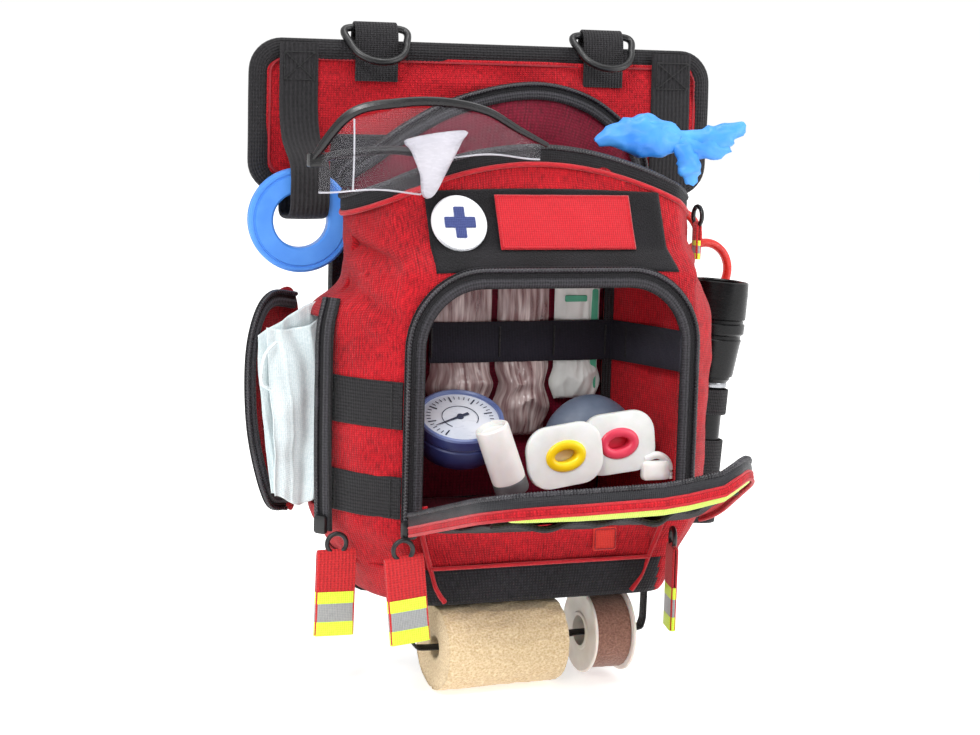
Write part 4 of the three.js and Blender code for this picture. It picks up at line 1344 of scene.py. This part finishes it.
def band_round(path, low, high, thick, closed=False):
    """Upright band along a plan path, its face turned outwards."""
    line = np.array([(x, y, (low + high) / 2) for x, y in path], float)
    line = resampled(np.vstack([line, line[:1]]) if closed else line, 1.5, closed)
    tangent = (np.roll(line, -1, 0) - np.roll(line, 1, 0)) if closed else np.gradient(line, axis=0)
    outward = np.stack([tangent[:, 1], -tangent[:, 0], 0 * tangent[:, 0]], axis=1)
    return sweep(line, flat_section(high - low, thick, 0.0, 12), outward, closed=closed)


def holder():
    base = slab(rounded(30, 60, 5), 2.4, 2)
    base = base.bent(lambda p: np.stack([138.8 - p[:, 1], -46 + p[:, 0], 90 + p[:, 2]], axis=1))
    piece("holder_panel", base, WEBBING, "pack", "torch_holder")
    stadium = [(-13, -13.4), *arc(0, 0, 13.4, -90, 90, 14), (-13, 13.4)]
    sleeves = band_round(stadium, 74, 92, 1.7) + band_round(stadium, -3, 56, 1.7)
    piece("torch_sleeves", sleeves.moved(TORCH_PLACE), WEBBING, "pack")
    loop = [(140, -32), (155, -32), (156, -31), (156, -18), (155, -17), (140, -17)]
    piece("shears_sleeve", band_round(loop, 60, 110, 1.6), WEBBING, "pack")
    strips = []
    for z in (40, 134):
        line = resampled([(140.4, -74, z), (140.4, -18, z)], 3)
        strips.append(sweep(line, flat_section(16, 1.4, 0.2), (1, 0, 0)))
    piece("holder_strips", joined(strips), STRAP_BLACK, "pack")


def torch():
    body = [(0, 9), (4.2, 9), (4.2, 3), (9.4, 3), (10.6, 4), (11, 6), (11, 20)]
    for k in range(8):
        z = 22 + 3.4 * k
        body += [(11, z), (10.4, z + 0.6), (10.4, z + 1.6), (11, z + 2.2)]
    body += [(11, 52), (11, 94), (11.6, 96), (14, 99), (14, 106), (13.4, 107), (13.4, 110), (14, 111),
             (14, 118),
             (0, 118)]
    piece("torch_barrel", lathe(body, 64).moved(TORCH_PLACE), TORCH_BLACK, "torch",
          "torch_body",
          sharp=30)
    ring = lathe([(11.2, 93), (12.3, 93.4), (12.6, 95), (12.3, 96.6), (11.2, 97)], 64)
    piece("torch_neck_ring", ring.moved(TORCH_PLACE), TORCH_GLINT, "torch")
    head = [(14.4, 101), (15.6, 101), (16.2, 103), (17, 110), (18.8, 124), (19.4, 127), (18.6, 128),
            (18.6, 130),
            (20.6, 132), (20.8, 138), (19.6, 139), (19.6, 141), (20.8, 142), (20.8, 160), (20.4, 167.4),
            (19.4, 168), (18.5, 167), (18.3, 158), (17, 156), (8, 151), (0, 150)]

    def scallop(r, z, angle):
        bite = max(0.0, math.cos(3 * angle)) ** 2 * max(0.0, min(1.0, (z - 140) / 14))
        return r - (1.8 * bite if r > 18.4 else 0)

    piece("torch_bezel", lathe(head, 96, scallop).moved(TORCH_PLACE), TORCH_BLACK, "torch_zoom",
          "torch_head", sharp=30)
    glass = lathe([(18.2, 157.6), (17.8, 158.4), (0.01, 158.9)], 48)
    piece("torch_glass", glass.moved(TORCH_PLACE), LENS_EDGE, "torch_zoom")
    button = lathe([(0, 1.0), (2.6, 1.0), (3.5, 1.6), (3.8, 2.8), (3.8, 5.8), (0, 5.8)], 32)
    piece("torch_button_cap", button.moved(TORCH_PLACE), RUBBER, "torch_switch",
          "torch_button")


def shears():
    loops = []
    for x, z, r in ((164, 199.5, 18.5), (140, 222.5, 18)):
        oval = ellipse(r, r * 1.04, 60, x, -25, z)
        loops.append(sweep(oval, oval_section(3.1, 3.3), (0, 1, 0), closed=True))
    shank = [(143, 158), (153, 158), (155, 168), (157.5, 182), (152, 196), (146, 206), (141, 204), (142, 184)]
    dense = soft_outline(shank, 2.4)
    loops.append(slab(dense, 5.4, 3, 0.6).moved(at(0, -24.5, 0)))
    piece("shears_grips", joined(loops), SHEARS_RED, "shears", "shears_handles")
    blade = [(143.5, 159.6), (152.5, 159.6), (151, 66), (149, 62.5), (147, 62), (144.6, 66), (143.5, 72)]
    dense = firm_outline(blade, 4)
    piece("shears_steel", slab(dense, 2.4, 2).moved(at(0, -24.4, 0)), STEEL, "shears",
          "shears_blades")
    screw = lathe([(0.01, 3.2), (2.6, 3.0), (3.2, 2.2), (3.2, 0), (0.01, 0)], 24)
    face_front = turned(90, "X")
    piece("shears_screw", screw.moved(Matrix.Translation((148, -26.6, 162)) @ face_front), STEEL, "shears")


# ---------- goggles and glove in the mouth of the pack ----------
LENS_PLAN = [(-146, -100), (-128, -113), (-100, -118.5), (-72, -121), (-45, -120), (-22, -117), (-3, -114)]
BROW = [(-151, 274), (-130, 303), (-102, 310.5), (-72, 312), (-43, 307), (-20, 296), (2, 286)]


def goggles():
    plan = curve([(x, y, 0) for x, y in LENS_PLAN], 2.0)
    brow_x, brow_z = zip(*BROW)

    def lens(u, v):
        x, y, _ = at_share(plan, u)
        top = np.interp(x, brow_x, brow_z)
        behind_rim = np.clip((x + 86) / 12, 0, 1)
        low = 257 + 3.0 * np.sin(np.pi * u * 2.0) ** 2 + 23 * behind_rim ** 2 * (3 - 2 * behind_rim)
        return x, y - 3 * np.sin(np.pi * v) * np.sin(np.pi * u), low + (top - low) * v

    piece("goggles_shield", grid(lens, 90, 24, 160, 50), LENS, "goggles", "goggles_lens", solid=1.8)
    u = np.linspace(0, 1, 90)
    low_edge = stack(*lens(u, 0 * u))
    side_edge = stack(*lens(0 * u, u))
    fold_u = 0.15 + 0 * u
    fold = stack(*lens(fold_u, u))
    edges = [sweep(line, round_section(0.6, 8)) for line in (low_edge, side_edge)]
    edges.append(sweep(fold + (0, -0.6, 0), round_section(0.6, 8)))
    piece("goggles_shield_edge", joined(edges), LENS_EDGE, "goggles")
    brow = curve([(x, np.interp(x, *zip(*LENS_PLAN)), z + 3.2) for x, z in BROW], 2.0)
    normal = np.cross(np.gradient(brow, axis=0), (0, 0, 1))
    bar = sweep(brow, flat_section(6.2, 6, 0.6, 6), normal,
                scale=lambda d: float(np.interp(d, [0, 12, 60, 150, 190], [0.5, 1.0, 1.0, 0.8, 0.4])))
    piece("goggles_brow_bar", bar, GOGGLE_BLACK, "goggles", "goggles_frame")
    arm = curve([(3, 0, 0), (30, 0, 4), (62, 0, 5), (92, 0, 0), (112, 0, -7)], 2.0)
    arm = sweep(arm, flat_section(5.5, 2.8, 0.4), (0, -1, 0)).moved(at(-146, -93, 278, 14))
    piece("goggles_arm", arm, GOGGLE_BLACK, "goggles", "goggles_temple")
    hinge = slab(rounded(6, 4.5, 1.5, -147, 277), 7, puff=0.5).moved(at(0, -98, 0))
    piece("goggles_hinge", hinge, GOGGLE_BLACK, "goggles")
    wedge = [(-97, 292), (-60, 298), (-62, 290), (-72, 270), (-80, 256.5), (-86, 257), (-88, 270), (-94, 284)]
    dense = soft_outline(wedge, 2.4)
    nose = slab(dense, 5.5, 4, 2.5).moved(at(0, -125.5, 0))
    piece("goggles_nose_piece", nose, NOSE_WHITE, "goggles")


def glove():
    def finger(points, radii, seed):
        path = curve(points, 2.0)
        size = np.interp(np.linspace(0, 1, len(path)), np.linspace(0, 1, len(radii)), radii)
        lengths = np.r_[0, np.cumsum(np.linalg.norm(np.diff(path, axis=0), axis=1))]
        tube = sweep(path, oval_section(1, 0.55, 32), (0, -1, 0.25),
                     scale=lambda d: float(np.interp(d, lengths, size)))

        def crumple(p):
            centre = p.mean(axis=0)
            away = p - centre
            away /= np.linalg.norm(away, axis=1, keepdims=True) + 1e-6
            folds = 1 - 2 * np.abs(lift(p * (0.6, 1, 1.3), 9, 1.0, seed))
            return p + away * ((folds - 0.6) * 2.5 + lift(p, 5, 0.5, seed + 2))[:, None]
        return tube.bent(crumple)

    parts = [
        finger([(50, -84, 290), (62, -86, 295), (76, -88, 296), (92, -90, 294), (107, -92, 293)],
               [3, 9, 14.5, 13, 7], 1.0),
        finger([(68, -87, 297), (82, -88, 302), (96, -90, 300), (107, -92, 294)], [5, 8, 8, 5], 11.0),
        finger([(104, -91, 293), (118, -92, 293), (134, -93, 295), (147, -94, 300), (154, -94, 303)],
               [7, 7, 8.5, 8, 4], 4.0),
        finger([(105, -93, 291), (120, -94, 288), (133, -95, 287), (143, -95, 289)], [6, 7.5, 7, 3.5], 6.0),
        finger([(106, -94, 293), (110, -97, 283), (113, -98, 272), (115, -98, 264)], [6, 7.5, 8.5, 4.5], 8.0),
    ]
    piece("glove_nitrile", joined(parts), NITRILE, "pack", "glove", sharp=70)


# ---------- gear in the front compartment ----------
def film_bag(name, node, x0, x1, z0, z1, y, material, bulge, seed):
    def face(sign):
        def place(u, v):
            x = x0 + (x1 - x0) * u
            z = z0 + (z1 - z0) * v
            points = stack(x, 0 * x, z)
            full = np.clip(np.sin(np.pi * u), 0, 1) ** 0.5 * np.clip(np.sin(np.pi * v), 0, 1) ** 0.3
            rib = 1 - 2 * np.abs(lift(points * (1, 1, 0.22), 6, 1.0, seed))
            facets = 1 - 2 * np.abs(lift(points, 13, 1.0, seed + 5))
            below = np.clip((150 - z) / 20, 0, 1)
            pinch = 1 - 0.7 * np.exp(-((z - 158) / 13) ** 2)
            puff = bulge * (1 + 0.9 * below) + 1.6 * rib + 3.4 * below * facets
            edge = 2.5 * below * np.sin(z / 5 + seed) * (2 * u - 1)
            return x + edge, y + sign * full * pinch * puff, z
        return place
    shape = grid(face(-1), 48, 70, x1 - x0, z1 - z0) + grid(face(0.35), 12, 12, x1 - x0, z1 - z0)
    return piece(name, shape, material, "pack", node)


def pouches():
    film_bag("pouch_left_film", "pouch_left", -60, -17, 104, 202, -73.6, FILM, 5.5, 1.0)
    film_bag("pouch_middle_film", "pouch_middle", -13, 24, 94, 203, -73.6, FILM, 6.0, 4.0)
    film_bag("dressing_packet_paper", "dressing_packet", 28, 61, 118, 203, -73.6, PAPER, 3.4,
             7.0)
    stripe = slab(rounded(2.2, 34, 1.2, 56.5, 158), 1.2).moved(at(0, -76.2, 0))
    bar = slab(rounded(8, 2.2, 1, 42, 186), 1.0).moved(at(0, -77.6, 0))
    piece("dressing_packet_green", stripe + bar, PACKET_GREEN, "pack")


def gauge():
    place = at(-52, -112.5, 115, -6, "Y") @ \
        turned(27, "X") @ Matrix.Scale(1.07, 4)
    case = [(0, -24), (19, -24), (23.4, -23), (25, -20.5), (26.4, -16), (27, -11), (27, -9), (26.2, -8.2),
            (26.2, -7.2), (27, -6.4), (27, -3), (26.6, -1)]
    piece("gauge_case", lathe(case, 80).moved(place), NAVY, "pack", "pressure_gauge",
          sharp=30)
    rim_profile = [(26.6, -1), (26.2, 0.4), (24.8, 0.9), (23.8, 0.2), (23.6, -1.4)]
    piece("gauge_rim", lathe(rim_profile, 80).moved(place), RING_BLUE, "pack")
    piece("gauge_dial", lathe([(23.8, -1.4), (0.01, -1.2)], 64).moved(place), DIAL, "pack")
    marks = []
    for k in range(31):
        long = k % 5 == 0
        inner_r, outer_r = (15.5 if long else 18), 20.5
        tick = resampled([(inner_r, 0, -1.0), (outer_r, 0, -1.0)], 1.5)
        bar = sweep(tick, flat_section(0.9 if long else 0.5, 0.3, 0, 2), (0, 0, 1))
        marks.append(bar.moved(turned(225 - 9 * k, "Z")))
    needle = sweep(resampled([(-6, 0, -0.4), (18, 0, -0.4)], 1.0), flat_section(1.6, 0.5, 0, 2), (0, 0, 1),
                   scale=lambda d: float(np.interp(d, [0, 6, 24], [1.4, 1.2, 0.25])))
    marks.append(needle.moved(turned(196, "Z")))
    marks.append(lathe([(2.2, -1.0), (2.0, 0.2), (0.01, 0.3)], 20))
    inner_scale = [(11 * math.cos(a), 11 * math.sin(a), -1.0) for a in np.radians(np.linspace(-45, 225, 60))]
    marks.append(sweep(inner_scale, flat_section(0.5, 0.3, 0, 2), (0, 0, 1)))
    piece("gauge_marks", joined(marks).moved(place), INK, "pack")


def bandage_tube():
    place = at(-25.5, -141.5, 69, -22, "Y") @ \
        turned(4, "X")
    tube = [(10.5, 9), (10.8, 10), (11, 12), (11, 45.4), (10.7, 46.8), (9.6, 47.5), (9, 47.2), (8.6, 44),
            (0, 43.6)]
    piece("bandage_tube_body", lathe(tube, 56).moved(place), MILK, "pack", "bandage_tube",
          sharp=30)
    cap = [(0, 0), (9.2, 0), (10.5, 0.8), (11.1, 2.2), (11.2, 8.4), (10.8, 9.4), (10.6, 9.6)]
    piece("bandage_tube_cap", lathe(cap, 56).moved(place), CAP_GREY, "pack", sharp=30)


def airway(name, x, y, z, roll, stub, colour, core_colour):
    place = at(x, y, z, roll, "Y")
    outer = rounded(26, 20, 15, steps=10)
    rings, count = [], len(outer)
    lips = ((1.0, 1.2), (1.0, -0.8), (0.985, -1.9), (0.9, -2.5), (0.62, -2.1), (0.42, -2.6))
    angles = [math.atan2(pz, px) for px, pz in outer]

    def hole_at(angle):
        return 9.6 * math.cos(angle), 5.6 * math.sin(angle)

    for share, depth in lips:
        for (px, pz), angle in zip(outer, angles):
            hx, hz = hole_at(angle)
            rings.append((hx + (px - hx) * (share - 0.3) / 0.7 if share < 1 else px, depth,
                          hz + (pz - hz) * (share - 0.3) / 0.7 if share < 1 else pz))
    for angle in angles:
        hx, hz = hole_at(angle)
        rings.append((hx * 1.15, -2.4, hz * 1.15))
    for depth in (-2.0, stub):
        for angle in angles:
            hx, hz = hole_at(angle)
            rings.append((hx * 1.1, depth, hz * 1.1))
    faces = ring_faces(len(rings) // count, count)
    uvs = [[(rings[i][0], rings[i][2]) for i in face] for face in faces]
    piece(name + "_flange", Shape(rings, faces, uvs).moved(place), MILK, "pack", name,
          solid=0.8)
    ring = sweep(ellipse(11, 7.2, y=-2.6), oval_section(3.2, 1.9), (0, -1, 0), closed=True)
    inner = ellipse(8.6, 4.8, y=1)
    core = sweep(inner, flat_section(7, 1.2), np.array(inner) * (1, 0, 1), closed=True)
    piece(name + "_insert", (ring + core).moved(place), colour, "pack")
    oval = [(px, pz) for px, _, pz in ellipse(8.8, 5.0, 40)]
    web = slab(oval, 1.2, 3, 0.8).moved(at(0, 4.4, 0))
    piece(name + "_web", web.moved(place), core_colour, "pack")


def bulb():
    profile = [(math.sin(a), -math.cos(a)) for a in np.linspace(0.02, math.pi - 0.02, 26)]
    shape = lathe(profile, 56).moved(turned(90, "Y"))
    shape = shape.bent(lambda p: p * (33, 18, 27))
    shape = shape.bent(lambda p: p * (1 + 0.03 * np.cos(p[:, :1] / 9)))
    piece("squeeze_bulb_rubber", shape.moved(Matrix.Translation((44, -103, 97))), BULB, "pack",
          "squeeze_bulb")
    clip = slab(rounded(10, 6.5, 3, 78, 78), 5, puff=1.2).moved(at(0, -134, 0))
    post = sweep(curve([(70, -133, 86), (80, -134, 88), (88, -133, 82), (89, -133, 72)], 1.5),
                 round_section(2.6))
    piece("tubing_clip", clip + post, MILK, "pack")


# ---------- rolls under the base ----------
def rolls():
    along_x = turned(90, "Y")
    place = at(*ROLL["place"], ROLL["yaw"], "Z") @ along_x
    radius, bore, half = ROLL["radius"], ROLL["bore"], ROLL["length"] / 2
    wraps = [(radius - 0.9 * k, 0.45 * (k % 2)) for k in range(1, 22)]
    profile = [(r, -half + 1 + z) for r, z in reversed(wraps)] + [(radius - 0.4, -half + 0.4),
                                                                  (radius, -half + 1.6)]
    profile += [(radius, z) for z in np.linspace(-half + 4, half - 4, 48)]
    profile += [(radius, half - 1.6), (radius - 0.4, half - 0.4)] + [(r, half - 1 - z) for r, z in wraps]
    profile += [(bore, half - 2), (bore, -half + 2), profile[0]]

    def spiral(r, z, angle):
        step = 1.0 * (angle / (2 * math.pi))
        broad = noise.noise(Vector((angle * 5, z / 9, r / 6))) * 0.9
        rumple = broad + noise.noise(Vector((angle * 22, z / 3, r))) * 0.35
        return r - 1.9 + step * (r / radius) + rumple * (r / radius)

    piece("bandage_roll_crepe", lathe(profile, 180, spiral).moved(place), GAUZE, "wide_roll",
          "bandage_roll", sharp=180)
    place = at(*SPOOL["place"]) @ along_x
    outer, core, half = SPOOL["radius"], SPOOL["bore"], SPOOL["width"] / 2
    shapes = []
    for sign in (-1, 1):
        plate = [(core, half - 2.4), (core, half), (core + 2.2, half + 0.0), (core + 3, half - 0.7),
                 (outer - 2.6, half - 0.7), (outer - 1.2, half), (outer, half - 0.6), (outer, half - 1.8),
                 (outer - 1, half - 2.4), (core, half - 2.4)]
        shapes.append(lathe([(r, sign * z) for r, z in plate], 96))
    shapes.append(lathe([(core, -half + 2), (core, half - 2), (core + 2.4, half - 2), (core + 2.4, -half + 2),
                         (core, -half + 2)], 64))
    piece("tape_spool_body", joined(shapes).moved(place), SPOOL_WHITE, "spool", "tape_spool")
    tape = [(core + 2.6, -half + 2.6), (outer - 4, -half + 2.6), (outer - 3.2, -half + 3.4)]
    tape += [(outer - 3.2, z) for z in np.linspace(-half + 4, half - 4, 20)]
    tape += [(outer - 3.2, half - 3.4), (outer - 4, half - 2.6), (core + 2.6, half - 2.6)]

    def wound(r, z, angle):
        return r + 0.5 * angle / (2 * math.pi) + 0.3 * noise.noise(Vector((angle * 9, z / 4, r)))

    piece("tape_spool_cloth", lathe(tape, 96, wound).moved(place), TAPE_BROWN, "spool")
    path = curve([(-86, -123, -2.6), (-87, -123.1, -18), (-84, -122.9, -31), (-74, -122.4, -34),
                  (-28, -120, -34),
                  (15, -117.7, -34), (36, -112.2, -34), (76, -112, -34), (83, -112, -30), (84, -112, -17),
                  (84, -112, -2.6)], 2.0)
    up = np.cross(np.gradient(path, axis=0), (0.1, 1, 0))
    piece("roll_strap_webbing", sweep(path, flat_section(11, 1.8, 0.2), up), WEBBING, "pack",
          "roll_strap")


def front_label():
    s = GIRTH / 2 + 39
    _, y, _ = skin(s, 36)
    y = float(y) - 2.6
    tag = slab(rounded(8.2, 7.6, 1.4, 39, 36), 1.4, puff=0.3).moved(at(0, y, 0))
    piece("front_label_tag", tag, LABEL_RED, "pack")
    border = rounded(7.2, 6.6, 1, 39, 36)
    edge = resampled([(x, y - 1.2, z) for x, z in border + border[:1]], 1.0)
    stitches = sweep(edge, round_section(0.45, 6), (0, -1, 0), scale=beads(0.3, 0.8, 1.3))
    piece("front_label_stitches", stitches, THREAD_RED, "pack")


# ---------- floor, backdrop and light ----------
def studio():
    low = -0.1945
    size = 6.0
    data = bpy.data.meshes.new("floor")
    data.from_pydata([(-size, -size, low), (size, -size, low), (size, size, low), (-size, size, low)], [],
                     [(0, 1, 2, 3)])
    floor = bpy.data.objects.new("floor", data)
    bpy.context.scene.collection.objects.link(floor)
    paint = Paint("floor_white", 0.9)
    paint.shader.inputs["Base Color"].default_value = (0.92, 0.92, 0.92, 1)
    paint.shader.inputs["Emission Color"].default_value = (1, 1, 1, 1)
    paint.shader.inputs["Emission Strength"].default_value = 0.5
    data.materials.append(paint.material)
    world = bpy.data.worlds.new("studio")
    world.use_nodes = True
    world.node_tree.nodes["Background"].inputs["Color"].default_value = (1, 1, 1, 1)
    nodes, links = world.node_tree.nodes, world.node_tree.links
    direction = nodes.new("ShaderNodeTexCoord")
    split = nodes.new("ShaderNodeSeparateXYZ")
    links.new(direction.outputs["Generated"], split.inputs[0])
    ramp = nodes.new("ShaderNodeMapRange")
    for socket, value in (("From Min", -0.95), ("From Max", -0.45), ("To Min", 0.3), ("To Max", 1.02)):
        ramp.inputs[socket].default_value = value
    links.new(split.outputs["Y"], ramp.inputs["Value"])
    links.new(ramp.outputs["Result"], nodes["Background"].inputs["Strength"])
    bpy.context.scene.world = world
    lights = (("key", (-1.0, -1.5, 1.5), 0.7, 25), ("fill", (1.4, -1.3, 0.6), 0.8, 10),
              ("top", (0.1, -0.4, 1.6), 0.8, 10))
    for name, place, width, power in lights:
        lamp = bpy.data.lights.new(name, "AREA")
        lamp.size = width
        lamp.energy = power
        lamp_object = bpy.data.objects.new(name, lamp)
        bpy.context.scene.collection.objects.link(lamp_object)
        lamp_object.location = place
        aim = Vector((0, -0.1, 0)) - Vector(place)
        lamp_object.rotation_mode = "QUATERNION"
        lamp_object.rotation_quaternion = aim.to_track_quat("-Z", "Y")
    bpy.context.scene.view_settings.view_transform = "Standard"


bag_shell()
base_cover()
liner()
front_zip()
elastic()
loop_field()
patches()
rim()
main_lining()
lid()
door()
door_front()
wing()
ring_loops()
hook_straps()
tape_reel()
back()
side_webbing()
side_pocket()
face_mask()
zip_pull("pull_door_left", "door_pull_left", (-104, -153, 46), 26, 54, 0, -6)
zip_pull("pull_door_right", "door_pull_right", (80, -160, 46), 22, 54, 76)
zip_pull("pull_side", "side_pull", (-133, -111, 43), 26, 54, 0, 1)
zip_pull("pull_lid", "lid_pull", (127, -84, 250), 8, 24, 90)
holder()
torch()
shears()
goggles()
glove()
pouches()
gauge()
bandage_tube()
airway("airway_yellow", 9, -142, 92, -8, 16, AIR_YELLOW, SPOOL_WHITE)
airway("airway_red", 51, -132, 97, -6, 7, AIR_RED, AIR_RED)
bulb()
rolls()
front_label()
studio()

bpy.context.view_layer.update()
